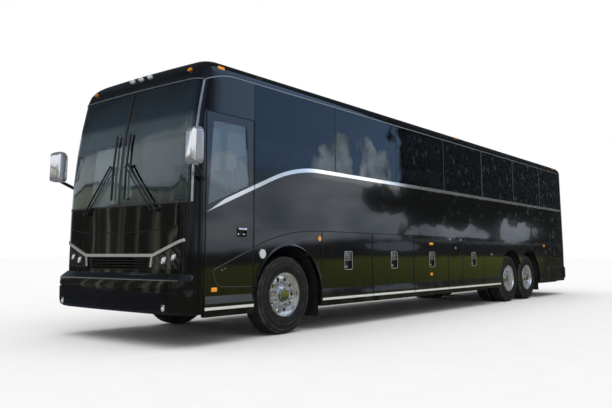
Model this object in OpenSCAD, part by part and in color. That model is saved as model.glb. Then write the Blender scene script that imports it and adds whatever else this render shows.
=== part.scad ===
// Three-axle highway coach, left-hand drive: body panels, doors, glass, cabin and running gear.
// Frame: X forward, Y to the left side, Z up; the origin lies on the road under the middle.

/* [Body] */
// Overall length over both bumpers
length = 13540; // [13300:10:13800]
// Width over the flared skirts
width = 2590; // [2520:5:2620]
// Height of the roof crown above the road
height = 3500; // [3450:5:3560]
// Thickness of the body walls
wall = 60; // [54:1:66]
// Thickness of the lower doors and panels
panel = 45; // [40:1:50]
// Bottom edge of the skirts above the road
skirt_z = 335; // [310:5:350]
// Height of the crease above the luggage doors
crease_z = 1400; // [1390:2:1420]
// Drop from the roof crown to the gutter
roof_drop = 210; // [195:5:230]
// Radius of the roof edges
cant_r = 170; // [150:5:180]
// How far the sides lean in between crease and gutter
tumble = 28; // [15:1:40]
// How far the skirts flare out below the panels
flare = 14; // [8:1:20]

/* [Front] */
// Distance from the bumper's tip back to the front panel
mask_setback = 130; // [110:5:150]
// Radius of the front corners in plan
corner_r = 150; // [130:5:180]
// Radius of the crowned front in plan
crown_r = 20000; // [12000:500:30000]
// How far the windscreen's top lies behind its foot
screen_lean = 165; // [140:5:190]
// Lower edge of the windscreen
screen_z0 = 1675; // [1660:5:1700]
// Drop from the roof crown to the windscreen's upper edge
screen_drop = 340; // [330:5:370]
// How far the windscreen reaches back round the corners
screen_wrap = 105; // [80:5:120]
// Lower edge of the front bumper
bumper_z0 = 385; // [375:5:400]
// Upper edge of the front bumper
bumper_z1 = 845; // [835:5:855]
// Length of the bumper's ends along the sides
bumper_end = 270; // [250:5:290]
// Height of the bright bar over the grille
bar_z = 1053; // [1045:1:1065]
// Half length of the bright bar
bar_y = 720; // [700:5:740]
// Height of the curved seam on the front panel
front_seam_z = 1331; // [1300:5:1360]

/* [Rear] */
// Length of the rear cap ahead of the rear end
rear_cap = 1050; // [1000:10:1100]
// Radius of the rear corners in plan
rear_r = 300; // [270:5:320]
// Depth of the rear bumper
rear_bumper = 60; // [50:2:70]
// Half width of the engine door
engine_door_y = 820; // [780:5:860]
// Lower edge of the engine door
engine_door_z0 = 790; // [770:5:810]
// Top edge of the engine door
engine_door_z1 = 1780; // [1740:5:1820]

/* [Axles] */
// Distance from the bumper's tip back to the front axle
front_overhang = 1930; // [1915:5:1945]
// Distance from the tag axle back to the rear end
rear_overhang = 2890; // [2800:10:2950]
// Drive axle to tag axle
tag_spacing = 1120; // [1100:5:1180]
// Radius of the tyres
tyre_r = 522; // [500:1:530]
// Width of a tyre
tyre_w = 295; // [275:1:305]
// Radius of the wheel rims
rim_r = 286; // [275:1:295]
// Gap between the body side and the tyre's outer face
tyre_inset = 70; // [60:1:85]
// Spacing of the twin tyres on the drive axle
twin_pitch = 335; // [330:1:345]
// Radius of the front wheel arches
arch_r = 655; // [645:1:660]
// Radius of the rear wheel arches
rear_arch_r = 645; // [630:1:655]
// Distance from the tyre's middle in to the kingpin
kingpin_in = 177; // [165:1:190]

/* [Doors] */
// Distance from the bumper's tip back to the front edge of the front doors
door_setback = 445; // [435:5:460]
// Width of the front doors
door_w = 805; // [795:1:815]
// Drop from the roof crown to the top of the front doors
door_drop = 715; // [690:5:750]
// Clear gap round every door
gap = 8; // [7:0.5:10]
// Width of the rearmost luggage door
last_door_w = 1012; // [960:5:1060]
// Width of the fuel filler panel
fuel_panel_w = 587; // [550:5:620]
// Width of the service panel ahead of the drive axle
service_panel_w = 536; // [500:5:570]

/* [Windows] */
// Thickness of the side glass
glass = 10; // [6:1:12]
// Width of the pillars behind the glass
pillar = 120; // [90:5:150]
// Height of the bright belt line along the side
belt_z = 2235; // [2210:5:2260]
// Height of the bright belt line
belt_h = 58; // [50:1:66]
// Length of the blank rear pane
blank_w = 990; // [940:10:1040]

/* [Cabin] */
// Top of the passenger floor
deck_top = 1396; // [1386:2:1398]
// Top of the driver's floor
driver_floor = 1040; // [1000:5:1080]
// Pitch of the seat rows
seat_pitch = 850; // [800:5:880]
// Width of a double seat
seat_w = 880; // [820:5:900]
// Half width of the aisle
aisle_y = 270; // [260:5:310]
// Room kept free behind the last seat row
rear_room = 1100; // [900:10:1300]

/* [Hidden] */
$fn = 48;
half_w = width / 2;
tip_x = length / 2;
tail_x = -length / 2;
mask_x = tip_x - mask_setback;
rear_x = tail_x + rear_bumper;
cap_x = tail_x + rear_cap;
front_axle_x = tip_x - front_overhang;
wheelbase = length - front_overhang - rear_overhang - tag_spacing;
drive_x = front_axle_x - wheelbase;
tag_x = drive_x - tag_spacing;
door_x1 = tip_x - door_setback;
door_x0 = door_x1 - door_w;
door_z1 = height - door_drop;
gutter_z = height - roof_drop;
low_y = half_w - flare;
gutter_y = low_y - tumble;
mask_z0 = skirt_z + 35;
screen_z1 = height - screen_drop;
header_z = screen_z1 + 10;
screen_h = header_z - screen_z0;
screen_r = (screen_h * screen_h + screen_lean * screen_lean) / (2 * screen_lean);
header_a = asin(screen_h / screen_r);
header_r = (height - header_z) / (1 - sin(header_a));
header_x = mask_x - screen_lean - header_r * cos(header_a);
cap_z0 = screen_z0 - 50;
wheel_wall_x = front_axle_x + arch_r + 12.4;
bay_x1 = front_axle_x - arch_r - 31;
bay_x0 = drive_x + rear_arch_r + 275;
door_rows = (bay_x1 - bay_x0 - last_door_w - fuel_panel_w - service_panel_w) / 3;
bay_xs = [bay_x1, bay_x1 - door_rows, bay_x1 - 2 * door_rows, bay_x1 - 3 * door_rows];
fuel_x0 = bay_xs[3] - fuel_panel_w;
last_x0 = fuel_x0 - last_door_w;
bay_floor_z = skirt_z + 65;
post_w = 36;
groove_w = 12;
groove_d = 6;
seat_gap = 0.4;
inner_y = low_y - panel - seat_gap;
tyre_y = low_y - tyre_inset - tyre_w / 2;
kingpin_y = tyre_y - kingpin_in;
rail_y = 400;
rail_z0 = 720;
rail_z1 = 860;
engine_x0 = cap_x - 480;
engine_x1 = cap_x + 700;
pane_x0 = cap_x + blank_w;
pane_pitch = (door_x0 - pane_x0) / 6;
deck_z0 = deck_top - 40;
seat_x = door_x0 - 420;
seat_rows = floor((seat_x - cap_x - rear_room) / seat_pitch) + 1;
engine_z0 = 600;
engine_z1 = 1250;
arc_n = 6;
corner_n = 8;
crown_n = 4;
screen_n = 4;

// 2D shapes drawn in (y, z) and run along X
module along_x(x0, x1)
  translate([x0, 0, 0])
    rotate([90, 0, 90])
      linear_extrude(x1 - x0)
        children();

// 2D shapes drawn in (x, z) and run along Y
module along_y(y0, y1)
  translate([0, y1, 0])
    rotate([90, 0, 0])
      linear_extrude(y1 - y0)
        children();

// A block between two corners
module block(a, b)
  translate(a)
    cube(b - a);

// A round bar between two points
module rod(p, q, r) {
  v = q - p;
  translate(p)
    rotate([0, acos(v[2] / norm(v)), atan2(v[1], v[0])])
      cylinder(h = norm(v), r = r, $fn = 16);
}

// A piece shown on the right side when side is -1
module on_side(side)
  if (side > 0) children();
  else mirror([0, 1, 0]) children();

// Cross-section of the body's left half above z0, set in by d
function section(d, z0) = concat(
  [[low_y - d, z0], [low_y - d, crease_z], [gutter_y - d, gutter_z]],
  [for (i = [1 : arc_n]) let (a = 86 * i / arc_n)
    [gutter_y - cant_r + (cant_r - d) * cos(a), gutter_z + (cant_r - d) * sin(a)]],
  [for (k = [0.72, 0.42, 0.02]) let (y = k * (gutter_y - cant_r * 0.93))
    [y, height - d - (roof_drop - cant_r) * k * k]]);

// Where the crowned front lies at height z, set in by d
function front_x(z, d) =
  z <= screen_z0 ? mask_x - d :
  z <= header_z ? mask_x - screen_r + sqrt(pow(screen_r - d, 2) - pow(z - screen_z0, 2)) :
  header_x + sqrt(max(0, pow(header_r - d, 2) - pow(z - height + header_r, 2)));

// Where the rear face lies at height z, set in by d
function back_x(z, d) = let (r = roof_drop, lean = 40 * max(0, z - crease_z) / (height - crease_z))
  z <= height - r ? -rear_x - d - lean :
  -rear_x - lean - r + sqrt(max(0, pow(r - d, 2) - pow(z - height + r, 2)));

// Plan outline with a crowned end at xf, round corners and a straight back at xb
function plan(w, xf, r, cr, xb) = let (
    rr = min(r, 0.85 * w),
    th = asin((w - rr) / (cr - rr)),
    xc = xf - cr + (cr - rr) * cos(th),
    side = concat([[xb, w]],
      [for (i = [0 : corner_n]) let (a = 90 - (90 - th) * i / corner_n)
        [xc + rr * cos(a), w - rr + rr * sin(a)]],
      [for (i = [1 : crown_n - 1]) let (a = th * (1 - i / crown_n))
        [xf - cr + cr * cos(a), cr * sin(a)]]))
  concat(side, [[xf, 0]], [for (i = [len(side) - 1 : -1 : 0]) [side[i][0], -side[i][1]]]);

// A rounded solid through level rings of equal length, one slab between each pair
module loft(rings) {
  n = len(rings[0]);
  for (k = [0 : len(rings) - 2])
    hull()
      polyhedron(
        points = concat(rings[k], rings[k + 1]),
        faces = concat(
          [[for (i = [0 : n - 1]) i]],
          [for (i = [0 : n - 1]) [i, n + i, n + (i + 1) % n, (i + 1) % n]],
          [[for (i = [n - 1 : -1 : 0]) n + i]]));
}

// Heights at which the front and the rear are lofted
function ring_levels(d, z0) = concat(
  [for (p = section(d, z0)) if (p[1] < screen_z0) p],
  [for (k = [0 : screen_n]) let (z = screen_z0 + screen_h * k / screen_n) [wall_y(z) - d, z]],
  [for (p = section(d, z0)) if (p[1] > header_z + 1) p]);

// Outer face of the side at height z
function wall_y(z) = low_y - tumble * max(0, z - crease_z) / (gutter_z - crease_z);

// Front end of the body, set in by d, from z0 up and from xb forward
module front_form(d, z0, xb)
  loft([for (p = ring_levels(d, z0))
    [for (q = plan(p[0], front_x(p[1], d), corner_r - d, crown_r - d, xb)) [q[0], q[1], p[1]]]]);

// Rear end of the body, set in by d, from z0 up and from xb back
module rear_form(d, z0, xb)
  mirror([1, 0, 0])
    loft([for (p = ring_levels(d, z0))
      [for (q = plan(p[0], back_x(p[1], d), rear_r - d, 9000 - d, -xb)) [q[0], q[1], p[1]]]]);

// Skin of the front between two depths
module front_skin(d0, d1, z0, xb)
  difference() {
    front_form(d0, z0, xb);
    front_form(d1, z0 - 20, xb - 20);
  }

// Skin of the rear between two depths
module rear_skin(d0, d1, z0, xb)
  difference() {
    rear_form(d0, z0, xb);
    rear_form(d1, z0 - 20, xb + 20);
  }

// Strip of the upper side between two depths and two heights, in (y, z)
module upper_strip(d0, d1, z0, z1)
  polygon([[wall_y(z0) - d0, z0], [wall_y(z1) - d0, z1], [wall_y(z1) - d1, z1], [wall_y(z0) - d1, z0]]);

// Outline of a lower panel with its flared skirt, in (y, z)
module lower_strip(t, z0, z1)
  polygon([[half_w, z0], [half_w, z0 + 150], [low_y, z0 + 240], [low_y, z1],
    [low_y - t, z1], [low_y - t, z0]]);

// Height of the belt line at x: level, then an arc, then straight down to the front
belt_x = front_axle_x - 650;
belt_r = 2570;
belt_a = 22.9;
function belt_at(x) =
  x <= belt_x ? belt_z :
  x <= belt_x + belt_r * sin(belt_a) ? belt_z - belt_r + sqrt(belt_r * belt_r - pow(x - belt_x, 2)) :
  belt_z - belt_r * (1 - cos(belt_a)) - (x - belt_x - belt_r * sin(belt_a)) * tan(belt_a);

// Area of the side glass between x0 and x1, set in by m, in (x, z)
module pane_area(x0, x1, m)
  polygon(concat(
    [for (i = [0 : 12]) let (x = x0 + m + (x1 - x0 - 2 * m) * i / 12) [x, belt_at(x) + belt_h + 6 + m]],
    [[x1 - m, gutter_z - 6 - m], [x0 + m, gutter_z - 6 - m]]));

// Left edges of the six panes and the blank one, as [x0, x1]
panes = concat([[cap_x, pane_x0]],
  [for (i = [0 : 5]) [pane_x0 + i * pane_pitch, pane_x0 + (i + 1) * pane_pitch]]);

// Front panel below the windscreen
module front_mask()
  color("#15171a")
    difference() {
      intersection() {
        front_skin(0, wall, mask_z0, door_x1 + gap / 2);
        block([door_x1 + gap / 2, -half_w, 0], [tip_x, half_w, cap_z0]);
      }
      along_x(door_x1 + 60, tip_x) grille_area(0.3);
      for (s = [1, -1]) on_side(s) lamp_room(0.3);
      intersection() {
        front_skin(-10, groove_d, mask_z0, door_x1 + 60);
        along_x(door_x1 + 60, tip_x) front_seam();
      }
    }

// Curved seam on the front panel in (y, z): level in the middle, rising to both corners
module front_seam()
  polygon(concat([for (y = seam_ys) [y, seam_at(y)]],
    [for (i = [len(seam_ys) - 1 : -1 : 0]) [seam_ys[i], seam_at(seam_ys[i]) + groove_w]]));

seam_ys = [for (k = [-10 : 10]) low_y * 0.09 * k];
function seam_at(y) = front_seam_z + 60 * pow(max(0, abs(y) - 500) / 590, 2);

// Grille outline in (y, z), grown by m
module grille_area(m)
  polygon([[-bar_y + 34 - m, bar_z - 22 + m], [bar_y - 34 + m, bar_z - 22 + m],
    [bar_y - 62 + m, bumper_z1 + 35 - m], [-bar_y + 62 - m, bumper_z1 + 35 - m]]);

// Headlamp outline in (y, z), grown by m
module lamp_area(m)
  polygon([[bar_y + 35 - m, bar_z - 16], [bar_y + 420, bar_z + 120 + m], [bar_y + 460 + m, bar_z + 92],
    [bar_y + 470 + m, bar_z - 60], [bar_y + 420 + m, bar_z - 155 - m], [bar_y + 30 - m, bar_z - 160 - m]]);

module lamp_room(m)
  along_x(mask_x - 240, tip_x) lamp_area(m);

// Roof front, screen pillars and header
module front_cap()
  color("#15171a")
    difference() {
      intersection() {
        front_skin(0, wall, skirt_z, door_x0);
        block([door_x0, -half_w, cap_z0], [tip_x, half_w, height + 10]);
      }
      block([door_x0 - 10, -half_w - 10, 0], [door_x1 + gap / 2, half_w + 10, door_z1 + gap]);
      for (s = [1, -1]) on_side(s) along_y(post_w / 2 - 0.3, half_w) screen_area(0.3);
    }

// Side view of the windscreen in (x, z), wrapped round the corner, grown by m
module screen_area(m)
  polygon(concat(
    [for (k = [0 : screen_n]) let (z = screen_z0 - m + (screen_z1 - screen_z0 + 2 * m) * k / screen_n)
      [front_x(z, 0) - screen_wrap - m, z]],
    [[tip_x, screen_z1 + m], [tip_x, screen_z0 - m]]));

// Both halves of the windscreen
module windscreen()
  color("#20303a", 0.6)
    intersection() {
      front_skin(4, 13, skirt_z, door_x1 + 10);
      for (s = [1, -1]) on_side(s) along_y(post_w / 2, half_w) screen_area(0);
    }

// Roof between the two end caps
module roof()
  color("#15171a")
    along_x(cap_x, door_x0)
      difference() {
        polygon(roof_outline(0, gutter_z));
        polygon(roof_outline(wall, gutter_z - 20));
      }

function roof_outline(d, z0) = let (s = [for (p = section(d, z0)) if (p[1] > gutter_z + 0.1) p])
  concat([[gutter_y - d, z0]], s,
    [for (i = [len(s) - 1 : -1 : 0]) [-s[i][0], s[i][1]]], [[d - gutter_y, z0]]);

// Upper side with the window openings
module side_wall()
  color("#15171a")
    difference() {
      along_x(cap_x, door_x0 - gap / 2) upper_strip(0, wall, crease_z + 4, gutter_z);
      intersection() {
        along_x(cap_x - 1, door_x0) upper_strip(-20, glass, belt_z - 900, gutter_z - 2);
        along_y(half_w - 200, half_w + 20) pane_area(cap_x - 10, door_x0 + 10, 0);
      }
      for (i = [1 : 6])
        along_y(half_w - 200, half_w + 20) pane_area(panes[i][0], panes[i][1], pillar / 2);
    }

module side_wall_left() side_wall();
module side_wall_right() on_side(-1) side_wall();

// Flush panes of one side
module side_glass()
  color("#10161c", 0.8)
    for (p = panes)
      intersection() {
        along_x(p[0] + 3, p[1] - 3) upper_strip(0, glass - 0.3, belt_z - 900, gutter_z - 3);
        along_y(half_w - 200, half_w + 20) pane_area(p[0], p[1] - (p[1] > door_x0 - 1 ? gap / 2 : 0), 3);
      }

module side_glass_left() side_glass();
module side_glass_right() on_side(-1) side_glass();

// A wheel arch cut, round above the axle and straight below
module arch(x, r) {
  along_y(0, half_w + 50) translate([x, tyre_r]) circle(r);
  block([x - r, 0, 0], [x + r, half_w + 50, tyre_r]);
}

// Flared lip round a wheel arch, widest at its top rear
module arch_lip(x, r)
  along_y(low_y - 2, low_y + lip_h)
    difference() {
      translate([x - lip_w * 0.4, tyre_r + lip_w * 0.4]) circle(r + lip_w * 0.64);
      translate([x, tyre_r]) circle(r);
      translate([x - r, 0]) square([2 * r, tyre_r]);
    }

lip_w = 78;
lip_h = 9;

// Height of the crease at x: level along the doors, then an arc and a straight run down to the front
crease_x = front_axle_x - 550;
crease_r = 3300;
crease_a = 21.8;
function crease_at(x) = let (x1 = crease_x + crease_r * sin(crease_a))
  x <= crease_x ? crease_z :
  x <= x1 ? crease_z - crease_r + sqrt(crease_r * crease_r - pow(x - crease_x, 2)) :
  crease_z - crease_r * (1 - cos(crease_a)) - (x - x1) * tan(crease_a);

// Groove along the crease between x0 and x1
module crease_groove(x0, x1)
  along_y(low_y - groove_d, half_w + 10)
    polygon(concat([for (k = [0 : 12]) let (x = x0 + (x1 - x0) * k / 12) [x, crease_at(x) - groove_w]],
      [for (k = [12 : -1 : 0]) let (x = x0 + (x1 - x0) * k / 12) [x, crease_at(x)]]));

// Fixed lower panels of one side
module lower_panels()
  color("#15171a") {
    difference() {
      along_x(bay_x1 + gap / 2, door_x0 - gap / 2) lower_strip(panel, skirt_z, crease_z + 4);
      arch(front_axle_x, arch_r);
      crease_groove(bay_x1 + 150, door_x0);
    }
    intersection() {
      arch_lip(front_axle_x, arch_r);
      block([bay_x1 + gap / 2, 0, tyre_r - 60], [door_x0 - gap / 2, half_w, crease_z]);
    }
    along_x(fuel_x0 + gap / 2, bay_xs[3] - gap / 2) lower_strip(panel, skirt_z, crease_z + 4);
    difference() {
      along_x(cap_x, last_x0 - gap / 2) lower_strip(panel, skirt_z + 20, crease_z + 4);
      arch(drive_x, rear_arch_r);
      arch(tag_x, rear_arch_r);
    }
  }

module lower_panels_left() lower_panels();
module lower_panels_right() on_side(-1) lower_panels();

// Rear end with the frame of the engine door
module rear_cap_shell()
  color("#15171a")
    difference() {
      rear_skin(0, wall, skirt_z + 35, cap_x);
      difference() {
        along_x(tail_x - 10, rear_x + 250) engine_area(gap);
        rear_form(wall / 2 + seat_gap, 0, cap_x + 20);
      }
      along_x(tail_x - 10, rear_x + 250) engine_area(-30);
    }

module engine_area(m)
  polygon([[-engine_door_y - m, engine_door_z0 - m], [engine_door_y + m, engine_door_z0 - m],
    [engine_door_y + m, engine_door_z1 + m], [-engine_door_y - m, engine_door_z1 + m]]);

// Engine door, hung from its top edge
module engine_door()
  color("#1b1d20")
    difference() {
      intersection() {
        rear_skin(0, wall / 2, skirt_z + 35, cap_x);
        along_x(tail_x - 10, rear_x + 250) engine_area(0);
      }
      for (i = [0 : 8])
        block([tail_x - 10, -engine_door_y + 120, engine_door_z0 + 120 + 60 * i],
          [rear_x + 250, engine_door_y - 120, engine_door_z0 + 150 + 60 * i]);
    }

// Rings of the front bumper as [share of its height, set in], with a groove below the upper band
bumper_rings = [[0, 60], [0.07, 18], [0.2, 4], [0.57, 0], [0.59, 11], [0.62, 11], [0.64, 0], [0.82, 4],
  [0.87, 14], [1, 88]];
bumper_corner = 190;

module front_bumper()
  color("#121416")
    difference() {
      loft([for (b = bumper_rings)
        [for (q = plan(half_w - b[1] * 0.3, tip_x - b[1], bumper_corner, crown_r, tip_x - bumper_end))
          [q[0], q[1], bumper_z0 + b[0] * (bumper_z1 - bumper_z0)]]]);
      front_form(-0.4, 0, door_x0);
    }

module rear_bumper_bar()
  color("#121416")
    difference() {
      mirror([1, 0, 0])
        loft([for (b = [[430, 20], [470, 0], [700, 0], [735, 25]])
          [for (q = plan(half_w - b[1] * 0.3, -tail_x - b[1], rear_r, 9000, -rear_x - 420))
            [q[0], q[1], b[0]]]]);
      rear_form(-0.4, 0, cap_x);
    }

// Dark slatted grille set into the front panel
module grille()
  color("#0c0d0e")
    difference() {
      intersection() {
        front_skin(14, 34, mask_z0, door_x1 + 20);
        along_x(door_x1 + 60, tip_x) grille_area(0);
      }
      for (i = [0 : 3])
        block([mask_x - 300, -bar_y + 120, bumper_z1 + 52 + 34 * i],
          [tip_x, bar_y - 120, bumper_z1 + 68 + 34 * i]);
    }

// Bright bar over the grille with its two raised ends
module bright_bar()
  color("#d0d4d8")
    intersection() {
      front_skin(-14, -0.3, mask_z0, door_x1 + 20);
      along_x(door_x1 + 60, tip_x) {
        translate([-bar_y, bar_z - 18]) square([2 * bar_y, 36]);
        for (s = [1, -1])
          polygon([[s * bar_y, bar_z - 18], [s * bar_y, bar_z + 18],
            [s * (bar_y + 505), bar_z + 194], [s * (bar_y + 511), bar_z + 162]]);
        for (s = [1, -1])
          polygon([[s * bar_y, bar_z], [s * (bar_y - 26), bar_z], [s * (bar_y - 48), bar_z - 138],
            [s * (bar_y - 20), bar_z - 138]]);
      }
    }

// Headlamp units set into the front corners
module headlamps()
  color("#a8b4bc")
    intersection() {
      front_skin(5, wall, mask_z0, door_x1 + 20);
      for (s = [1, -1]) on_side(s) along_x(mask_x - 235, tip_x) lamp_area(0);
    }

// Small lamps on the sides as [x, z, radius]
side_lamps = [[front_axle_x + 530, crease_z - 325, 56], [bay_x1 + 60, crease_z - 110, 36],
  [tag_x - rear_arch_r - 355, crease_z - 110, 36]];

// Clearance lamps on the header as y positions
header_lamps = [-half_w + 270, -190, 0, 190, half_w - 270];

module marker_lamps()
  color("#d98a1c") {
    for (s = [1, -1]) on_side(s)
      for (q = side_lamps)
        translate([q[0], (q[1] > crease_z ? wall_y(q[1]) : low_y) + seat_gap, q[1]])
          rotate([-90, 0, 0])
            cylinder(h = 14, r = q[2], $fn = 20);
    intersection() {
      front_skin(-22, -0.3, skirt_z, door_x0);
      for (y = header_lamps)
        along_x(door_x0 + 200, tip_x)
          translate([y, height - 130 - (abs(y) > 500 ? 60 : 0)]) circle(24, $fn = 16);
    }
  }

module tail_lamps()
  color("#8c1012")
    intersection() {
      rear_skin(-16, -0.3, skirt_z + 35, cap_x);
      for (s = [1, -1]) on_side(s)
        for (i = [0 : 2])
          along_x(tail_x - 100, rear_x + 300) translate([half_w - 190, 950 + 210 * i]) circle(80, $fn = 20);
    }

// Door mirrors on their arms, one on each front corner
mirror_c = [mask_x + 40, half_w + 170, screen_z0 + 620];
mirror_foot = [door_x1 + 75, half_w + 10, screen_z0 + 270];

module mirrors()
  color("#24272b")
    difference() {
      for (s = [1, -1]) on_side(s) {
        rod(mirror_foot - [0, 150, 0], mirror_foot, 30);
        rod(mirror_foot, mirror_c + [-20, 0, -190], 22);
        translate(mirror_foot) sphere(30, $fn = 16);
        translate(mirror_c) rotate([0, 0, -12]) mirror_head();
      }
      front_form(-0.4, 0, door_x0);
    }

// Mirror head: depth, width and height; domed on top, with a flat back for its glass
head_d = 130;
head_w = 250;
head_h = 430;
module mirror_head()
  intersection() {
    translate([-head_d / 2, 0, 0])
      rotate([90, 0, 90]) linear_extrude(head_d) domed(head_w, head_h, 118, 56);
    translate([0, head_w / 2, 0])
      rotate([90, 0, 0]) linear_extrude(head_w) soft_front(head_d, head_h, 100);
    translate([0, 0, -head_h / 2])
      linear_extrude(head_h) soft_front(head_d, head_w, 88);
  }

// A rectangle with its upper corners rounded by r1 and its lower ones by r0
module domed(w, h, r1, r0)
  polygon([for (c = [[1, 1, r1, 0], [-1, 1, r1, 90], [-1, -1, r0, 180], [1, -1, r0, 270]])
    for (i = [0 : 8]) let (a = c[3] + 11.25 * i)
      [c[0] * (w / 2 - c[2]) + c[2] * cos(a), c[1] * (h / 2 - c[2]) + c[2] * sin(a)]]);

module rounded(w, h, r) {
  square([w - 2 * r, h], center = true);
  square([w, h - 2 * r], center = true);
  for (a = [1, -1]) for (b = [1, -1]) translate([a * (w / 2 - r), b * (h / 2 - r)]) circle(r, $fn = 24);
}

// A rectangle with the two corners on its right side rounded
module soft_front(w, h, r)
  polygon(concat([[-w / 2, -h / 2], [w / 2 - r, -h / 2]],
    [for (i = [1 : 8]) let (a = 11.25 * i - 90) [w / 2 - r + r * cos(a), -h / 2 + r + r * sin(a)]],
    [for (i = [0 : 8]) let (a = 11.25 * i) [w / 2 - r + r * cos(a), h / 2 - r + r * sin(a)]],
    [[-w / 2, h / 2]]));

// Wipers parked upright beside the middle of the screen
module wipers()
  color("#0c0d0e")
    difference() {
      for (s = [1, -1]) on_side(s) {
        rod([mask_x - 160, wiper_y, wiper_z], [mask_x + 24, wiper_y, wiper_z], 26);
        rod([mask_x - 160, wiper_y - 80, wiper_z], [mask_x + 24, wiper_y - 80, wiper_z], 16);
        rod([mask_x + 18, wiper_y, wiper_z], on_screen(190, wiper_z + 590, 38), 12);
        rod([mask_x + 18, wiper_y - 80, wiper_z], on_screen(150, wiper_z + 560, 38), 8);
        rod(on_screen(205, wiper_z + 592, 36), on_screen(130, wiper_z + 558, 32), 14);
        rod(on_screen(140, wiper_z + 150, 20), on_screen(140, wiper_z + 570, 22), 14);
        rod(on_screen(140, wiper_z + 570, 22), on_screen(140, wiper_z + 990, 20), 14);
      }
      front_form(-0.4, 0, door_x0);
    }

wiper_y = 760;
wiper_z = cap_z0 - 30;

// A point at height z, standing off the windscreen by lift
function on_screen(y, z, lift) = [front_x(z, -lift), y, z];

// Passenger floor, driver's floor and entrance steps
module floor_deck()
  color("#4a4d50") {
    block([cap_x + 20, -inner_y + 20, deck_z0], [door_x0 - 30, inner_y - 20, deck_top]);
    block([door_x0 + 20.4, -150, driver_floor - 40], [door_x1 - 40, inner_y - 20, driver_floor]);
    block([door_x0 + 20.4, -inner_y + 60, 420], [door_x1 - 40, -150, 460]);
    block([door_x0 + 20.4, -inner_y + 390, 460], [door_x1 - 40, -150, rail_z0 - seat_gap]);
  }

// Walls across the body between the luggage bays and round the front wheels
bulkhead_xs = concat([for (x = bay_xs) x], [fuel_x0, last_x0, bay_x0]);

module bulkheads()
  color("#3c3f42") {
    for (x = bulkhead_xs)
      block([x - 18, -inner_y, bay_floor_z + 30], [x + 18, inner_y, deck_z0]);
    block([bay_x0 - 18, -inner_y, bay_floor_z], [bay_x1 + 18, inner_y, bay_floor_z + 30]);
    block([wheel_wall_x, -inner_y, mask_z0 + 20], [door_x0 + 20, inner_y, deck_z0]);
  }

// Rails, cross members and jacking pads
module underframe()
  color("#26282a") {
    rails(door_x0 + 20, mask_x - 220);
    rails(bay_x1 + 18, wheel_wall_x);
    rails(engine_x1 + 20, bay_x0 - 18);
    for (s = [1, -1])
      block([engine_x0 - 20, s * rail_y - 50, rail_z0], [engine_x1 + 20, s * rail_y + 50, rail_z1]);
  }

module rails(x0, x1) {
  for (s = [1, -1])
    block([x0, s * rail_y - 50, rail_z0], [x1, s * rail_y + 50, rail_z1]);
  n = ceil((x1 - x0) / 1200);
  for (i = [0 : n - 1])
    block([x0 + (x1 - x0 - 80) * i / n + 40, -rail_y + 50, rail_z0 + 20],
      [x0 + (x1 - x0 - 80) * i / n + 120, rail_y - 50, rail_z1 - 20]);
}

// Towing eyes below the rails as x positions
tow_xs = [mask_x - 290, cap_x - 420];

module tow_eyes()
  color("#303336")
    for (x = tow_xs)
      for (s = [1, -1])
        translate([x, s * rail_y, rail_z0])
          difference() {
            block([-60, -20, -190], [60, 20, 0]);
            translate([0, 50, -130]) rotate([90, 0, 0]) cylinder(h = 100, r = 25);
          }

// Dashboard and steering column
column_p = [door_x1 - 250, 620, driver_floor + 560];
column_v = [-0.42, 0, 0.907];

module dashboard()
  color("#3a3c3e") {
    along_y(-half_w + 190, half_w - 190)
      polygon([[door_x1 - 60, driver_floor + 0.3], [door_x1 + 60, driver_floor + 0.3],
        [door_x1 + 180, cap_z0 - 220], [door_x1 + 190, cap_z0 - 60], [door_x1 + 60, cap_z0 - 20],
        [door_x1 - 70, cap_z0 - 90], [door_x1 - 110, cap_z0 - 240]]);
    rod(column_p - 620 * column_v, column_p, 40);
  }

// Steering wheel on its hub
module steering_wheel()
  color("#1a1b1c")
    translate(column_p + seat_gap * column_v)
      rotate([0, -atan2(0.42, 0.907), 0]) {
        cylinder(h = 50, r = 55);
        translate([0, 0, 70]) rotate_extrude() translate([225, 0]) circle(17);
        for (a = [0, 120, 240]) rotate([0, 0, a]) rod([40, 0, 32], [222, 0, 70], 13);
      }

// One double seat: pedestal, cushion and back, drawn in (x, z)
module seat_shape()
  polygon(concat([[-60, 0], [160, 0], [160, 330], [260, 345]],
    [for (i = [0 : 4]) let (a = 45 * i - 90) [262 + 45 * cos(a), 395 + 45 * sin(a)]],
    [[-130, 420], [-235, 1080]],
    [for (i = [0 : 4]) let (a = 45 * i + 8) [-275 + 45 * cos(a), 1085 + 45 * sin(a)]],
    [[-215, 330], [-60, 330]]));

module seats()
  color("#5a5f66") {
    for (i = [0 : seat_rows - 1])
      for (s = [1, -1]) on_side(s)
        translate([seat_x - seat_pitch * i, 0, deck_top])
          along_y(aisle_y, aisle_y + seat_w) seat_shape();
    translate([door_x0 + 240, 0, driver_floor])
      along_y(column_p[1] - 240, column_p[1] + 240) seat_shape();
  }

// Engine block between the rear rails
module engine_block()
  color("#6a6c6e")
    block([engine_x0, -rail_y + 50.4, engine_z0], [engine_x1, rail_y - 50.4, engine_z1]);

// Air springs between the axles and the rails as [x, lower z]
spring_rows = [[front_axle_x, tyre_r - 15], [drive_x, tyre_r + 90], [tag_x, tyre_r + 80]];

module air_springs()
  color("#1c1c1c")
    for (q = spring_rows)
      for (s = [1, -1])
        translate([q[0], s * rail_y, q[1] + seat_gap]) {
          h = rail_z0 - q[1] - 2 * seat_gap;
          rotate_extrude()
            polygon([[0, 0], [85, 0], [115, h * 0.25], [92, h * 0.5], [115, h * 0.75], [85, h], [0, h]]);
        }

// Liners over the wheels
module liner(x, r, y0)
  difference() {
    along_y(y0, inner_y) translate([x, tyre_r]) circle(r + 12);
    along_y(y0 - 1, inner_y + 1) translate([x, tyre_r]) circle(r);
    block([x - r - 20, 0, -300], [x + r + 20, half_w, tyre_r]);
  }

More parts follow.
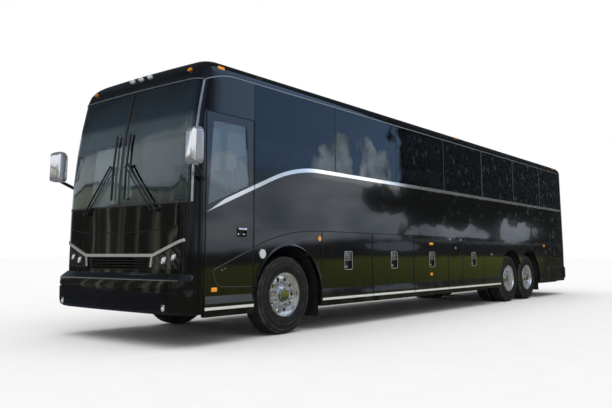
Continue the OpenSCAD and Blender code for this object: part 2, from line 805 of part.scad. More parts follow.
module wheel_liners()
  color("#1e1f20")
    for (s = [1, -1]) on_side(s) {
      liner(front_axle_x, arch_r, 480);
      difference() {
        union() {
          liner(drive_x, rear_arch_r, 480);
          liner(tag_x, rear_arch_r, 480);
        }
        along_y(0, half_w) translate([drive_x, tyre_r]) circle(rear_arch_r);
        along_y(0, half_w) translate([tag_x, tyre_r]) circle(rear_arch_r);
      }
    }

// Mud flaps behind the wheels as x positions
flap_xs = [bay_x1 + 18.4, tag_x - rear_arch_r - 14];

module mud_flaps()
  color("#161616")
    for (x = flap_xs)
      for (s = [1, -1]) on_side(s)
        block([x, 800, 190], [x + 10, inner_y, x > 0 ? bay_floor_z + 120 : tyre_r]);

// Front axle beam with its kingpin eyes
module front_axle()
  color("#303336") {
    block([front_axle_x - 60, -kingpin_y + 75, tyre_r - 115],
      [front_axle_x + 60, kingpin_y - 75, tyre_r - 15]);
    for (s = [1, -1])
      translate([front_axle_x, s * kingpin_y, tyre_r - 90])
        difference() {
          union() {
            cylinder(h = 180, r = 62);
            block([-50, s > 0 ? -110 : 0, 0], [50, s > 0 ? 0 : 110, 75]);
          }
          translate([0, 0, -1]) cylinder(h = 182, r = 30.8);
        }
  }

// Drive and tag axles with their spindles
module rear_axles()
  color("#303336") {
    translate([drive_x, 0, tyre_r]) {
      rotate([-90, 0, 0]) translate([0, 0, -tyre_y - 10]) cylinder(h = 2 * tyre_y + 20, r = 55);
      rotate([-90, 0, 0]) translate([0, 0, -420]) cylinder(h = 840, r = 90);
      sphere(195);
    }
    translate([tag_x, 0, tyre_r]) {
      rotate([-90, 0, 0]) translate([0, 0, -tyre_y - 60]) cylinder(h = 2 * tyre_y + 120, r = 55);
      rotate([-90, 0, 0]) translate([0, 0, -860]) cylinder(h = 1720, r = 80);
    }
  }

// Steering knuckle with kingpin, fork and stub axle
module knuckle()
  color("#3a3d40")
    translate([front_axle_x, kingpin_y, tyre_r]) {
      translate([0, 0, -130]) cylinder(h = 260, r = 30);
      translate([0, 0, 91]) cylinder(h = 45, r = 60);
      translate([0, 0, -136]) cylinder(h = 45, r = 60);
      block([-45, 64, -136], [45, 100, 136]);
      block([-45, 0, 91], [45, 90, 136]);
      block([-45, 0, -136], [45, 90, -91]);
      translate([0, 95, 0]) rotate([-90, 0, 0]) cylinder(h = kingpin_in - 45, r = 55);
    }

module knuckle_left() knuckle();
module knuckle_right() on_side(-1) knuckle();

// Tyre outline in (radius, width), symmetrical about its middle
module tyre()
  rotate([-90, 0, 0])
    rotate_extrude()
      difference() {
        polygon([[rim_r + 0.4, -tyre_w / 2 + 30], [rim_r + 25, -tyre_w / 2 + 14], [rim_r + 90, -tyre_w / 2],
          [tyre_r - 60, -tyre_w / 2 + 4], [tyre_r - 18, -tyre_w / 2 + 16], [tyre_r, -tyre_w / 2 + 40],
          [tyre_r, tyre_w / 2 - 40], [tyre_r - 18, tyre_w / 2 - 16], [tyre_r - 60, tyre_w / 2 - 4],
          [rim_r + 90, tyre_w / 2], [rim_r + 25, tyre_w / 2 - 14], [rim_r + 0.4, tyre_w / 2 - 30]]);
        for (y = [-70, -24, 24, 70]) translate([tyre_r - 12, y - 5]) square([20, 10]);
      }

// Wheel with its disc at depth e from the middle and its hub standing out by nose
module rim(e, nose, capped)
  rotate([-90, 0, 0]) {
    difference() {
      rotate_extrude() {
        polygon([[rim_r + 14, -138], [rim_r + 14, -129], [rim_r, -119], [rim_r, 119], [rim_r + 14, 129],
          [rim_r + 14, 138], [rim_r - 2, 140], [rim_r - 14, 124], [rim_r - 14, -124], [rim_r - 2, -140]]);
        polygon([[125, e - 18], [205, e - 12], [245, e - 22], [rim_r - 6, e - 18], [rim_r - 6, e + 2],
          [250, e + 4], [205, e + 10], [125, e + 6]]);
      }
      for (i = [0 : 9])
        rotate([0, 0, 36 * i]) translate([214, 0, e - 60]) cylinder(h = 120, r = 30);
    }
    rotate_extrude()
      polygon(concat([[55.8, e - 75], [135, e - 75], [135, e + 14], [108, e + nose]],
        capped ? [[72, e + nose + 16], [0, e + nose + 20], [0, e + nose + 4], [55.8, e + nose + 4]]
        : [[55.8, e + nose]]));
    for (i = [0 : 9])
      rotate([0, 0, 36 * i + 18]) translate([167.5, 0, e - 4]) cylinder(h = 48, r = 19, $fn = 6);
  }

module wheel_tyre(x, y, s)
  color("#1a1a1a")
    on_side(s)
      translate([x, y, tyre_r])
        tyre();

module wheel_rim(x, y, s, e, nose, capped = true)
  color("#c8ccd0")
    on_side(s)
      translate([x, y, tyre_r])
        rim(e, nose, capped);

module tyre_front_left() wheel_tyre(front_axle_x, tyre_y, 1);
module tyre_front_right() wheel_tyre(front_axle_x, tyre_y, -1);
module tyre_tag_left() wheel_tyre(tag_x, tyre_y, 1);
module tyre_tag_right() wheel_tyre(tag_x, tyre_y, -1);

module tyre_drive_left()
  for (k = [0, 1]) wheel_tyre(drive_x, tyre_y - twin_pitch * k, 1);

module tyre_drive_right()
  for (k = [0, 1]) wheel_tyre(drive_x, tyre_y - twin_pitch * k, -1);

module rim_front_left() wheel_rim(front_axle_x, tyre_y, 1, 60, 40);
module rim_front_right() wheel_rim(front_axle_x, tyre_y, -1, 60, 40);
module rim_tag_left() wheel_rim(tag_x, tyre_y, 1, 60, 40);
module rim_tag_right() wheel_rim(tag_x, tyre_y, -1, 60, 40);

// Depth of the twin wheels' discs from their middles
twin_e = 100;

module rim_pair(s) {
  wheel_rim(drive_x, tyre_y, s, -twin_e, 150);
  wheel_rim(drive_x, tyre_y - twin_pitch, s, twin_e, twin_pitch - 2 * twin_e - 75, false);
}

module rim_drive_left() rim_pair(1);
module rim_drive_right() rim_pair(-1);

// Luggage doors as [rear x, front x]
luggage = [[bay_xs[1], bay_xs[0]], [bay_xs[2], bay_xs[1]], [bay_xs[3], bay_xs[2]], [last_x0, fuel_x0]];

module luggage_door(q)
  color("#15171a")
    difference() {
      along_x(q[0] + gap / 2, q[1] - gap / 2) lower_strip(panel, skirt_z, crease_z + 4 - gap);
      along_y(low_y - 28, half_w + 10) translate([(q[0] + q[1]) / 2, crease_z - 425]) rounded(200, 280, 30);
    }

module luggage_door_l1() luggage_door(luggage[0]);
module luggage_door_l2() luggage_door(luggage[1]);
module luggage_door_l3() luggage_door(luggage[2]);
module luggage_door_l4() luggage_door(luggage[3]);
module luggage_door_r1() on_side(-1) luggage_door(luggage[0]);
module luggage_door_r2() on_side(-1) luggage_door(luggage[1]);
module luggage_door_r3() on_side(-1) luggage_door(luggage[2]);
module luggage_door_r4() on_side(-1) luggage_door(luggage[3]);

// Leaf of a front door, with its window cut
module front_door()
  color("#15171a")
    difference() {
      along_x(door_x0 + gap / 2, door_x1 - gap / 2) {
        lower_strip(panel, skirt_z, crease_z);
        upper_strip(0, panel, crease_z, door_z1);
      }
      along_y(half_w - 200, half_w + 20) door_pane(0);
      crease_groove(door_x0, door_x1 - 145);
      along_y(low_y - handle_d, half_w + 10)
        translate([door_x0 + handle_x, handle_z]) rounded(160, 110, 20);
    }

// Handle recess of a front door: distance from its rear edge, height and depth
handle_x = 215;
handle_z = crease_z - 60;
handle_d = 22;

// Outline of a front door's window in (x, z), set in by m
module door_pane(m)
  polygon([[door_x0 + 80 + m, belt_at(door_x0 + 80) + belt_h + 20 + m],
    [door_x1 - 45 - m, belt_at(door_x1 - 45) + belt_h + 20 + m],
    [door_x1 - 118 - m, door_z1 - 100 - m], [door_x0 + 140 + m, door_z1 - 100 - m]]);

module door_glass()
  color("#20303a", 0.6)
    intersection() {
      along_x(door_x0 + 20, door_x1 - 20) upper_strip(12, 22, crease_z, door_z1);
      along_y(half_w - 200, half_w + 20) door_pane(0.3);
    }

module driver_door() front_door();
module driver_door_glass() door_glass();
module entrance_door() on_side(-1) front_door();
module entrance_door_glass() on_side(-1) door_glass();

front_mask();
front_cap();
windscreen();
roof();
side_wall_left();
side_wall_right();
side_glass_left();
side_glass_right();
lower_panels_left();
lower_panels_right();
rear_cap_shell();
engine_door();
front_bumper();
rear_bumper_bar();
grille();
bright_bar();
headlamps();
marker_lamps();
tail_lamps();
mirrors();
wipers();
floor_deck();
bulkheads();
underframe();
tow_eyes();
dashboard();
steering_wheel();
seats();
engine_block();
air_springs();
wheel_liners();
mud_flaps();
front_axle();
rear_axles();
knuckle_left();
knuckle_right();
tyre_front_left();
tyre_front_right();
tyre_drive_left();
tyre_drive_right();
tyre_tag_left();
tyre_tag_right();
rim_front_left();
rim_front_right();
rim_drive_left();
rim_drive_right();
rim_tag_left();
rim_tag_right();
luggage_door_l1();
luggage_door_l2();
luggage_door_l3();
luggage_door_l4();
luggage_door_r1();
luggage_door_r2();
luggage_door_r3();
luggage_door_r4();
driver_door();
driver_door_glass();
entrance_door();
entrance_door_glass();
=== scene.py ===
"""Looks of the three-axle coach: paint, glass, bright trim, lamps, tyres, seats and the studio round it."""
import functools
import math

import bmesh
import bpy
from mathutils import Matrix, Vector
from mathutils.bvhtree import BVHTree


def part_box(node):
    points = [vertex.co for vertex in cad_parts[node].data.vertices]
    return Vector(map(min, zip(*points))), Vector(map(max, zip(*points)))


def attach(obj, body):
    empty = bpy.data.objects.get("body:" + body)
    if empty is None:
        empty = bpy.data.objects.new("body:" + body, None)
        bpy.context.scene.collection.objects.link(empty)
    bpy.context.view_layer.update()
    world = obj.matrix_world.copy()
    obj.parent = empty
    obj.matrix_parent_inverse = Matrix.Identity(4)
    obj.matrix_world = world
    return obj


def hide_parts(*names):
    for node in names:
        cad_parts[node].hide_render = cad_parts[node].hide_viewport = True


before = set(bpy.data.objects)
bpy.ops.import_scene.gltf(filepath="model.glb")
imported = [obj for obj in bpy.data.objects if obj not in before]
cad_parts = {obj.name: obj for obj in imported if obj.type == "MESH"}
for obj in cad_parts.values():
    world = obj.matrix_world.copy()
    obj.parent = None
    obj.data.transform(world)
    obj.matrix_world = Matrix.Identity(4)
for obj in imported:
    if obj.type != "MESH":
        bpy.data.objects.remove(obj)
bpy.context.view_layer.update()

SIDES = {1: "left", -1: "right"}
LETTER = {1: "l", -1: "r"}
DOOR = {1: "driver_door", -1: "entrance_door"}
UP = (0, 0, 1)


def middle(name):
    """The middle of a node's box."""
    lo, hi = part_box(name)
    return (lo + hi) / 2


# Places that the trim follows, from the frame
door_lo, door_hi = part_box("driver_door")
glass_lo, glass_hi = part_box("windscreen")
wall_lo, wall_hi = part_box("side_wall_left")
wall_foot_z = wall_lo.z
gutter_z = wall_hi.z
door_seam_x = door_lo.x - 0.004
cap_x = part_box("roof")[0].x
rear_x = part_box("rear_cap_shell")[0].x
front_axle = middle("tyre_front_left")
tyre_r = front_axle.z
axle_x = {"front": front_axle.x, "drive": middle("tyre_drive_left").x, "tag": middle("tyre_tag_left").x}

# Bright belt line along the side; its front end is a point
BELT_Z = 2.235
BELT_H = 0.058
BELT_R = 2.57
BELT_A = math.radians(22.9)
BELT_X = front_axle.x - 0.65
BELT_DEPTH = 0.005
BELT_TIP = 0.3

# Crease of the doors and lower panels
CREASE_Z = wall_foot_z - 0.004
CREASE_R = 3.3
CREASE_A = math.radians(21.8)
CREASE_X = front_axle.x - 0.55

# Lower bright line along the skirts, and the line under the roof edge
SKIRT_Z = 0.43
SKIRT_H = 0.034
SKIRT_DEPTH = 0.004
GUTTER_H = 0.014
GUTTER_DEPTH = 0.006

# Front edge of the blank panel behind the rearmost pane, and the number of panes ahead of it
PANE_X = cap_x + 0.99
PANES = 6

# Radius of the front arches, width of their lips, and the lip's section as (share of the width, lift)
ARCH_R = 0.655
LIP_W = 0.036
LIP = ((0, -0.002), (0, 0.006), (0.2, 0.009), (0.6, 0.0065), (1, 0.0005), (1, -0.002))

# Windscreen: how far it wraps round the corners, their radius, the post and the foot of the shade band
SCREEN_WRAP = 0.105
CORNER_R = 0.15
SCREEN_EDGE_A = math.acos((CORNER_R - SCREEN_WRAP) / CORNER_R)
POST_W = 0.044
SHADE_Z = 2.71

# Seam across the front panel: its height, the level half width and the rise over the rest
SEAM_Z = 1.331
SEAM_LEVEL = 0.5
SEAM_RUN = 0.59
SEAM_RISE = 0.06

# Face of the doors round the handles, and the mirror heads with the feet of their shells
FACE_Y = 1.281
MIRROR_HEAD = (6.68, 1.465, 2.295)
MIRROR_FOOT_Z = 2.075
MIRROR_TURN = math.radians(12)

# Radius of the rear corners, and the height from which rays fan out round the roof
REAR_R = 0.3
ROOF_MIDDLE_Z = 2.75

# How far trim reaches into what is under it, the rise and edge of a rubber seal, and where rays start
SINK = 0.002
SEAL_RISE = 0.002
SEAL_EDGE = 0.001
BESIDE = 2.0
AHEAD = 9


def swept(x, start, top, r, angle):
    """Height at x of a line that is level up to start, then an arc, then straight down to the front."""
    run = r * math.sin(angle)
    if x <= start:
        return top
    if x <= start + run:
        return top - r + math.sqrt(r ** 2 - (x - start) ** 2)
    return top - r * (1 - math.cos(angle)) - (x - start - run) * math.tan(angle)


def belt_at(x):
    """Lower edge of the belt line at x."""
    return swept(x, BELT_X, BELT_Z, BELT_R, BELT_A)


def crease_at(x):
    """Height of the crease at x."""
    return swept(x, CREASE_X, CREASE_Z, CREASE_R, CREASE_A)


def steps(a, b, n):
    """n + 1 values from a to b."""
    return [a + (b - a) * i / n for i in range(n + 1)]


def luggage_doors(s):
    return [f"luggage_door_{LETTER[s]}{i}" for i in range(1, 5)]


def doors(s):
    """The front door and the luggage doors of one side."""
    return [DOOR[s]] + luggage_doors(s)


def grey(v, warm=0.0):
    return (v * (1 + warm), v, v * (1 - warm))


# Node trees


def node(tree, kind, inputs=None, **settings):
    """A new node with its settings; an input that is a socket is linked, any other is set."""
    made = tree.nodes.new(kind)
    for key, value in settings.items():
        setattr(made, key, value)
    for key, value in (inputs or {}).items():
        if isinstance(value, bpy.types.NodeSocket):
            tree.links.new(value, made.inputs[key])
        else:
            made.inputs[key].default_value = value
    return made


class Nodes:
    """A node tree; each method adds nodes and returns the socket that they end in."""

    def __init__(self, tree):
        self.tree = tree

    def put(self, kind, output, inputs=None, **settings):
        return node(self.tree, kind, inputs, **settings).outputs[output]

    def math(self, operation, *values):
        """The values taken together, two at a time."""
        result = values[0]
        for value in values[1:]:
            result = self.put("ShaderNodeMath", "Value", {0: result, 1: value}, operation=operation)
        return result

    def spread(self, value, low, high, to_low=0.0, to_high=1.0):
        """A value mapped from one range to another, kept inside it."""
        inputs = {"Value": value, "From Min": low, "From Max": high, "To Min": to_low, "To Max": to_high}
        return self.put("ShaderNodeMapRange", "Result", inputs)

    def mix(self, factor, a, b):
        """Colour a where the factor is 0 and b where it is 1."""
        return self.put("ShaderNodeMix", 2, {0: factor, 6: a, 7: b}, data_type="RGBA")

    def ramp(self, factor, stops):
        """A colour ramp through (place, colour) stops."""
        made = node(self.tree, "ShaderNodeValToRGB", {"Fac": factor})
        marks = made.color_ramp.elements
        while len(marks) < len(stops):
            marks.new(0.5)
        for mark, (place, colour) in zip(marks, stops):
            mark.position = place
            mark.color = (*colour, 1)
        return made.outputs["Color"]


class Tones(Nodes):
    """A node tree with the coordinates of the part, and the patterns that follow them."""

    def __init__(self, tree, stretch=(1, 1, 1)):
        super().__init__(tree)
        self.whole = self.put("ShaderNodeTexCoord", "Object")
        self.place = self.moved(stretch)
        axes = node(tree, "ShaderNodeSeparateXYZ", {"Vector": self.whole})
        self.x, self.y, self.z = (axes.outputs[letter] for letter in "XYZ")

    def moved(self, scale, shift=(0, 0, 0)):
        """The coordinates scaled, then shifted."""
        inputs = {"Vector": self.whole, "Location": shift, "Scale": scale}
        return self.put("ShaderNodeMapping", "Vector", inputs)

    def reach(self, scale, shift):
        """How far the scaled and shifted coordinates are from the origin."""
        return self.put("ShaderNodeVectorMath", "Value", {0: self.moved(scale, shift)}, operation="LENGTH")

    def noise(self, scale, detail=3, place=None):
        inputs = {"Vector": place or self.place, "Scale": scale, "Detail": detail}
        return self.put("ShaderNodeTexNoise", "Fac", inputs)

    def sway(self, scale, detail, size):
        """Noise that runs from -size to size."""
        return self.spread(self.noise(scale, detail), 0.3, 0.7, -size, size)

    def wave(self, scale, direction="X", distortion=0.0):
        inputs = {"Vector": self.place, "Scale": scale, "Distortion": distortion}
        return self.put("ShaderNodeTexWave", "Fac", inputs, bands_direction=direction)

    def blob(self, centre, size, ragged):
        """1 inside a patch with a ragged edge on an upright card, 0 outside it."""
        (x, z), (w, h) = centre, size
        away = self.reach((1 / w, 0, 1 / h), (-x / w, 0, -z / h))
        return self.spread(self.math("ADD", away, self.sway(1.3, 8, ragged)), 0.85, 1.05, 1.0, 0.0)


class Finish(Tones):
    """A material with one Principled shader."""

    def __init__(self, name, sockets=None, stretch=(1, 1, 1)):
        self.mat = bpy.data.materials.new(name)
        self.mat.use_nodes = True
        super().__init__(self.mat.node_tree, stretch)
        self.shader = self.tree.nodes["Principled BSDF"]
        for key, value in (sockets or {}).items():
            self.shader.inputs[key].default_value = value

    def link(self, socket, value):
        self.tree.links.new(value, self.shader.inputs[socket])

    def colour(self, factor, stops):
        self.link("Base Color", self.ramp(factor, stops))

    def rough(self, factor, low, high):
        self.link("Roughness", self.spread(factor, 0.3, 0.7, low, high))

    def bump(self, height, strength, distance, under=None):
        inputs = {"Height": height, "Strength": strength, "Distance": distance}
        if under:
            inputs["Normal"] = under
        made = self.put("ShaderNodeBump", "Normal", inputs)
        self.link("Normal", made)
        return made


# Finishes


def plain(name, dark, light, rough, grain, bump, sockets=None):
    """A finish whose colour, gloss and relief vary with noise of that grain."""
    made = Finish(name, sockets)
    made.colour(made.noise(grain / 9), [(0.3, dark), (0.7, light)])
    made.rough(made.noise(grain / 4), *rough)
    made.bump(made.noise(grain), bump, 0.002)
    return made.mat


def paint(name, dust_and_highlight):
    """Gloss black coachwork: clear coat with faint waves, orange peel and road dust low down."""
    coat = {"Coat Weight": 1.0, "Coat Roughness": 0.02, "Coat IOR": 1.45}
    made = Finish(name, {"Specular IOR Level": 0.5, **coat})
    low = made.spread(made.z, 0.3, 0.75, 1.0, 0.0)
    pale_share = made.math("MULTIPLY", low, made.spread(made.noise(5, 6), 0.4, 0.75, 0.0, dust_and_highlight))
    made.colour(pale_share, [(0.0, (0.0035, 0.0037, 0.0042)), (1.0, (0.05, 0.047, 0.04))])
    made.link("Roughness", made.spread(pale_share, 0, 1, 0.12, 0.5))
    waves = made.bump(made.noise(0.9, 1), 0.05, 0.01)
    made.bump(made.noise(160, 1), 0.015, 0.0006, waves)
    return made.mat


def privacy_glass(name):
    """Dark flush side glass with a faint roller wave and a blue cast in its coating."""
    sockets = {"Transmission Weight": 1.0, "IOR": 1.6, "Specular Tint": (0.66, 0.84, 1.0, 1)}
    made = Finish(name, sockets, (1.0, 1, 0.35))
    made.colour(made.noise(0.6, 1), [(0.3, (0.045, 0.055, 0.065)), (0.7, (0.055, 0.065, 0.078))])
    made.rough(made.noise(3, 4), 0.0, 0.015)
    made.bump(made.noise(1.3, 1), 0.016, 0.006)
    return made.mat


def screen_glass(name, band_z, tint, ior):
    """Clear glass: a faint tint, and a dark shade band above band_z."""
    made = Finish(name, {"Transmission Weight": 1.0, "IOR": ior, "Specular Tint": (0.8, 0.92, 1.0, 1)})
    shade_band = made.spread(made.z, band_z - 0.03, band_z + 0.05)
    made.colour(shade_band, [(0.0, tint), (1.0, (0.07, 0.09, 0.105))])
    made.rough(made.noise(4, 5), 0.0, 0.02)
    made.bump(made.noise(0.8, 1), 0.03, 0.006)
    return made.mat


def polished(name, tone, rough, metal=1.0, stretch=(1, 1, 1)):
    """Bright metal with faint polishing haze; less metal makes it satin."""
    made = Finish(name, {"Metallic": metal}, stretch)
    pale = tuple(min(1.0, c * 1.12) for c in tone)
    made.colour(made.noise(9, 5), [(0.3, tone), (0.7, pale)])
    made.rough(made.noise(26, 4), rough * 0.7, rough * 1.5)
    made.bump(made.noise(220, 2), 0.03, 0.0005)
    return made.mat


def mirror_shell(name, foot_z):
    """Chrome mirror heads on black arms that end at foot_z."""
    made = Finish(name)
    head = made.spread(made.z, foot_z - 0.008, foot_z + 0.008)
    made.link("Metallic", made.spread(head, 0.0, 1.0, 0.0, 0.78))
    made.colour(head, [(0.0, grey(0.012)), (1.0, (0.84, 0.85, 0.88))])
    made.rough(made.noise(24, 4), 0.05, 0.12)
    made.bump(made.noise(14, 2), 0.08, 0.004)
    return made.mat


def lens(name, dark, light, ribs, glow=0.0):
    """Moulded lamp lens with fine slanting ribs."""
    made = Finish(name, {"Coat Weight": 1.0, "Emission Strength": glow, "Emission Color": (*light, 1)})
    wave = made.wave(ribs, "DIAGONAL", 0.4)
    made.colour(wave, [(0.2, dark), (0.8, light)])
    made.rough(made.noise(30), 0.04, 0.14)
    made.bump(wave, 0.25, 0.001)
    return made.mat


def marker_lens(name):
    """Lens of the small lamps: amber, but clear on the big side lamp and in the middle of the header."""
    made = Finish(name, {"Coat Weight": 1.0, "Emission Strength": 0.06})
    inner = made.math("LESS_THAN", made.math("ABSOLUTE", made.y, 0.0), 0.6)
    forward = made.math("GREATER_THAN", made.x, front_axle.x + 0.4)
    low = made.math("LESS_THAN", made.z, 1.3)
    clear = made.math("MAXIMUM", inner, made.math("MULTIPLY", forward, low))
    ribs = made.wave(45.0)
    both = made.math("ADD", clear, made.math("MULTIPLY", ribs, 0.2))
    amber = [(0.0, (0.55, 0.17, 0.01)), (0.2, (0.95, 0.42, 0.05))]
    white = [(0.9, (0.3, 0.31, 0.31)), (1.0, (0.62, 0.63, 0.62))]
    shown = made.ramp(both, amber + white)
    made.link("Base Color", shown)
    made.link("Emission Color", shown)
    made.rough(made.noise(30), 0.06, 0.16)
    made.bump(ribs, 0.3, 0.001)
    return made.mat


# Painted highlights in rings on a tyre's wall ridges and shoulders, as (radius, amount)
PAINTED_HIGHLIGHT_RINGS = [(0.3, 0.35), (0.33, 0.05), (0.385, 0.1), (0.394, 0.7), (0.403, 0.1), (0.452, 0.15),
              (0.462, 0.85), (0.472, 0.2), (0.49, 0.3), (0.503, 0.8), (0.515, 0.35)]


def rubber(name):
    """Tyre rubber: black, with painted highlights in rings on the walls' ridges and along the shoulders."""
    made = Finish(name, {"Specular IOR Level": 0.35})
    reach = made.math("MINIMUM", *[made.reach((1, 0, 1), (-x, 0, -tyre_r)) for x in axle_x.values()])
    # Painted highlight: lighter rings where the wall's moulded ridges and the shoulders would catch the light
    dust_and_highlight = made.ramp(reach, [(r, grey(v)) for r, v in PAINTED_HIGHLIGHT_RINGS])
    pale_share = made.math("MULTIPLY", dust_and_highlight, made.spread(made.noise(9, 6), 0.3, 0.7, 0.25, 1.0))
    made.colour(pale_share, [(0.0, grey(0.013)), (0.3, (0.028, 0.027, 0.025)), (0.8, (0.12, 0.114, 0.105))])
    made.rough(made.noise(10, 4), 0.42, 0.75)
    made.bump(made.noise(190, 3), 0.25, 0.001)
    return made.mat


def pane_seal(name):
    """Rubber between the panes, black in front and greyer towards the rear, mottled by noise."""
    made = Finish(name)
    rearward = made.spread(made.x, -1.5, 2.0, 1.0, 0.0)
    pale_share = made.math("MULTIPLY", rearward, made.spread(made.noise(3, 4), 0.3, 0.7, 0.5, 1.0))
    made.colour(pale_share, [(0.0, grey(0.008)), (1.0, grey(0.2))])
    made.rough(made.noise(20), 0.4, 0.6)
    made.bump(made.noise(80), 0.1, 0.002)
    return made.mat


def fabric(name, dark, light, thread):
    """Woven cloth: crossing threads over a soft two-tone fleck."""
    made = Finish(name, {"Sheen Weight": 0.35, "Sheen Roughness": 0.5, "Roughness": 0.85})
    cross = made.math("MULTIPLY", made.wave(thread, "Y"), made.wave(thread, "Z"))
    fleck = made.math("ADD", made.math("MULTIPLY", cross, 0.3), made.noise(60, 2))
    made.colour(fleck, [(0.35, dark), (0.8, light)])
    made.bump(cross, 0.5, 0.001)
    return made.mat


# Haze drawn out along the coach, and a shade band so high that no glass has it
LONG = (0.05, 1, 1)
NO_BAND = 4.0

PAINT = paint("coach_black", 0.5)
SATIN = plain("bumper_black", grey(0.004), grey(0.007), (0.08, 0.16), 90, 0.015, {"Coat Weight": 1.0})
DARK_GLASS = privacy_glass("privacy_glass")
SCREEN = screen_glass("screen_glass", SHADE_Z, (0.3, 0.35, 0.36), 1.72)
DOOR_GLASS = screen_glass("door_glass", NO_BAND, (0.6, 0.68, 0.76), 1.95)
ENTRY_GLASS = screen_glass("entry_glass", NO_BAND, (0.2, 0.235, 0.25), 1.5)
CHROME = polished("chrome", (0.72, 0.73, 0.75), 0.07)
BRIGHT = polished("bright_trim", (0.86, 0.86, 0.86), 0.11, 0.88, LONG)
GUTTER = polished("gutter_grey", (0.3, 0.31, 0.32), 0.3, 0.5, LONG)
HANDLE_FRAME = polished("handle_frame", (0.42, 0.42, 0.41), 0.25, 0.6)
SILVER = polished("silver_trim", (0.66, 0.66, 0.64), 0.16, 0.6, LONG)
SKIRT = polished("skirt_silver", (0.88, 0.88, 0.87), 0.25, 0.22, LONG)
ALLOY = polished("polished_alloy", (0.86, 0.85, 0.84), 0.1, 0.74)
GREY_TRIM = polished("grey_trim", (0.22, 0.23, 0.24), 0.3, 0.6)
HANDLE_GREY = polished("handle_grey", (0.2, 0.21, 0.23), 0.26, 0.7)
MIRROR_SHELL = mirror_shell("mirror_shell", MIRROR_FOOT_Z)
BLACK_TRIM = plain("black_trim", grey(0.008), grey(0.016), (0.35, 0.55), 120, 0.15)
GRILLE = plain("grille_black", grey(0.005), grey(0.012), (0.25, 0.5), 160, 0.2)
LAMP_GLASS = lens("lamp_cover", grey(0.01), grey(0.03), 6.0)
LAMP_CLEAR = lens("lamp_clear", grey(0.5), grey(0.8), 60.0, 0.1)
MARKER = marker_lens("marker_lens")
# The amber and red lenses glow, and so do the reflectors that use them: a painted glow there, as a reflector
# is no lamp
AMBER = lens("amber_lens", (0.6, 0.18, 0.01), (0.95, 0.42, 0.05), 50.0, 0.15)
RED = lens("red_lens", (0.22, 0.004, 0.004), (0.5, 0.012, 0.01), 50.0, 0.05)
RUBBER = rubber("tyre_rubber")
MOQUETTE = fabric("seat_moquette", (0.03, 0.036, 0.05), (0.12, 0.13, 0.15), 90.0)
BLIND = fabric("blind_cloth", (0.16, 0.23, 0.27), (0.24, 0.32, 0.37), 240.0)
FLOORING = plain("floor_vinyl", grey(0.05), grey(0.14), (0.4, 0.6), 300, 0.1)
DASH = plain("dash_grain", grey(0.035, 0.1), grey(0.06, 0.1), (0.45, 0.65), 260, 0.3)
STEEL = plain("frame_steel", grey(0.014), grey(0.03), (0.4, 0.7), 70, 0.15, {"Metallic": 0.3})
CAST = plain("cast_iron", grey(0.03, 0.05), grey(0.07, 0.12), (0.5, 0.8), 130, 0.4, {"Metallic": 0.5})
BELLOWS = plain("bellows_rubber", grey(0.012), grey(0.022), (0.5, 0.7), 90, 0.2)
LINER = plain("liner_plastic", grey(0.01), grey(0.02), (0.5, 0.8), 50, 0.3)
SEAL = pane_seal("pane_seal")
FLAP = plain("flap_rubber", grey(0.01), grey(0.02), (0.4, 0.65), 60, 0.2)
MIRROR = polished("mirror_silver", (0.85, 0.86, 0.87), 0.02)

# Finish of each node; tyres, rims and painted panels are left out
NODE_FINISH = {
    "windscreen": SCREEN, "driver_door_glass": DOOR_GLASS, "entrance_door_glass": ENTRY_GLASS,
    "side_glass_left": DARK_GLASS, "side_glass_right": DARK_GLASS, "front_bumper": SATIN,
    "rear_bumper_bar": SATIN, "grille": GRILLE, "bright_bar": SILVER, "headlamps": LAMP_GLASS,
    "marker_lamps": MARKER, "tail_lamps": RED, "mirrors": MIRROR_SHELL, "wipers": BLACK_TRIM,
    "floor_deck": FLOORING, "bulkheads": LINER, "underframe": STEEL, "tow_eyes": STEEL, "dashboard": DASH,
    "steering_wheel": BLACK_TRIM, "engine_block": CAST, "air_springs": BELLOWS, "wheel_liners": LINER,
    "mud_flaps": FLAP, "front_axle": CAST, "rear_axles": CAST, "knuckle_left": CAST, "knuckle_right": CAST,
}

# Slot name of a piece with each finish, bright_metal for all others; make looks it up but gives it to no
# piece
SLOT = {
    PAINT: "black_paint", BLACK_TRIM: "grille_black", SEAL: "bellows_rubber", AMBER: "amber_lens",
    RED: "red_lens", LAMP_CLEAR: "lamp_glass", RUBBER: "tyre_rubber", MOQUETTE: "seat_fabric",
    BLIND: "seat_fabric", DASH: "dash_plastic",
}


def smoothing(limit):
    """Geometry nodes that weld a mesh and shade it smooth where faces meet at less than limit degrees."""
    tree = bpy.data.node_groups.new(f"smooth_{limit}", "GeometryNodeTree")
    for way in ("INPUT", "OUTPUT"):
        tree.interface.new_socket("Geometry", in_out=way, socket_type="NodeSocketGeometry")
    form = Nodes(tree)
    source = form.put("NodeGroupInput", 0)
    bare = form.put("GeometryNodeRemoveAttribute", 0, {"Geometry": source, "Name": "custom_normal"})
    welded = form.put("GeometryNodeMergeByDistance", 0, {"Geometry": bare, "Distance": 0.0002})
    faces = form.put("GeometryNodeSetShadeSmooth", 0, {"Geometry": welded, "Shade Smooth": True})
    angle = form.put("GeometryNodeInputMeshEdgeAngle", "Unsigned Angle")
    flat = form.put("FunctionNodeCompare", 0, {0: angle, 1: math.radians(limit)}, operation="LESS_THAN")
    smooth = {"Geometry": faces, "Shade Smooth": flat}
    edges = form.put("GeometryNodeSetShadeSmooth", 0, smooth, domain="EDGE")
    node(tree, "NodeGroupOutput", {0: edges})
    return tree


SMOOTH = smoothing(32)
CRISP = smoothing(5)
PANELS = ("side_wall", "lower_panels", "luggage_door", "driver_door", "entrance_door")


def shade(obj, tree=SMOOTH):
    obj.modifiers.new("smooth", "NODES").node_group = tree


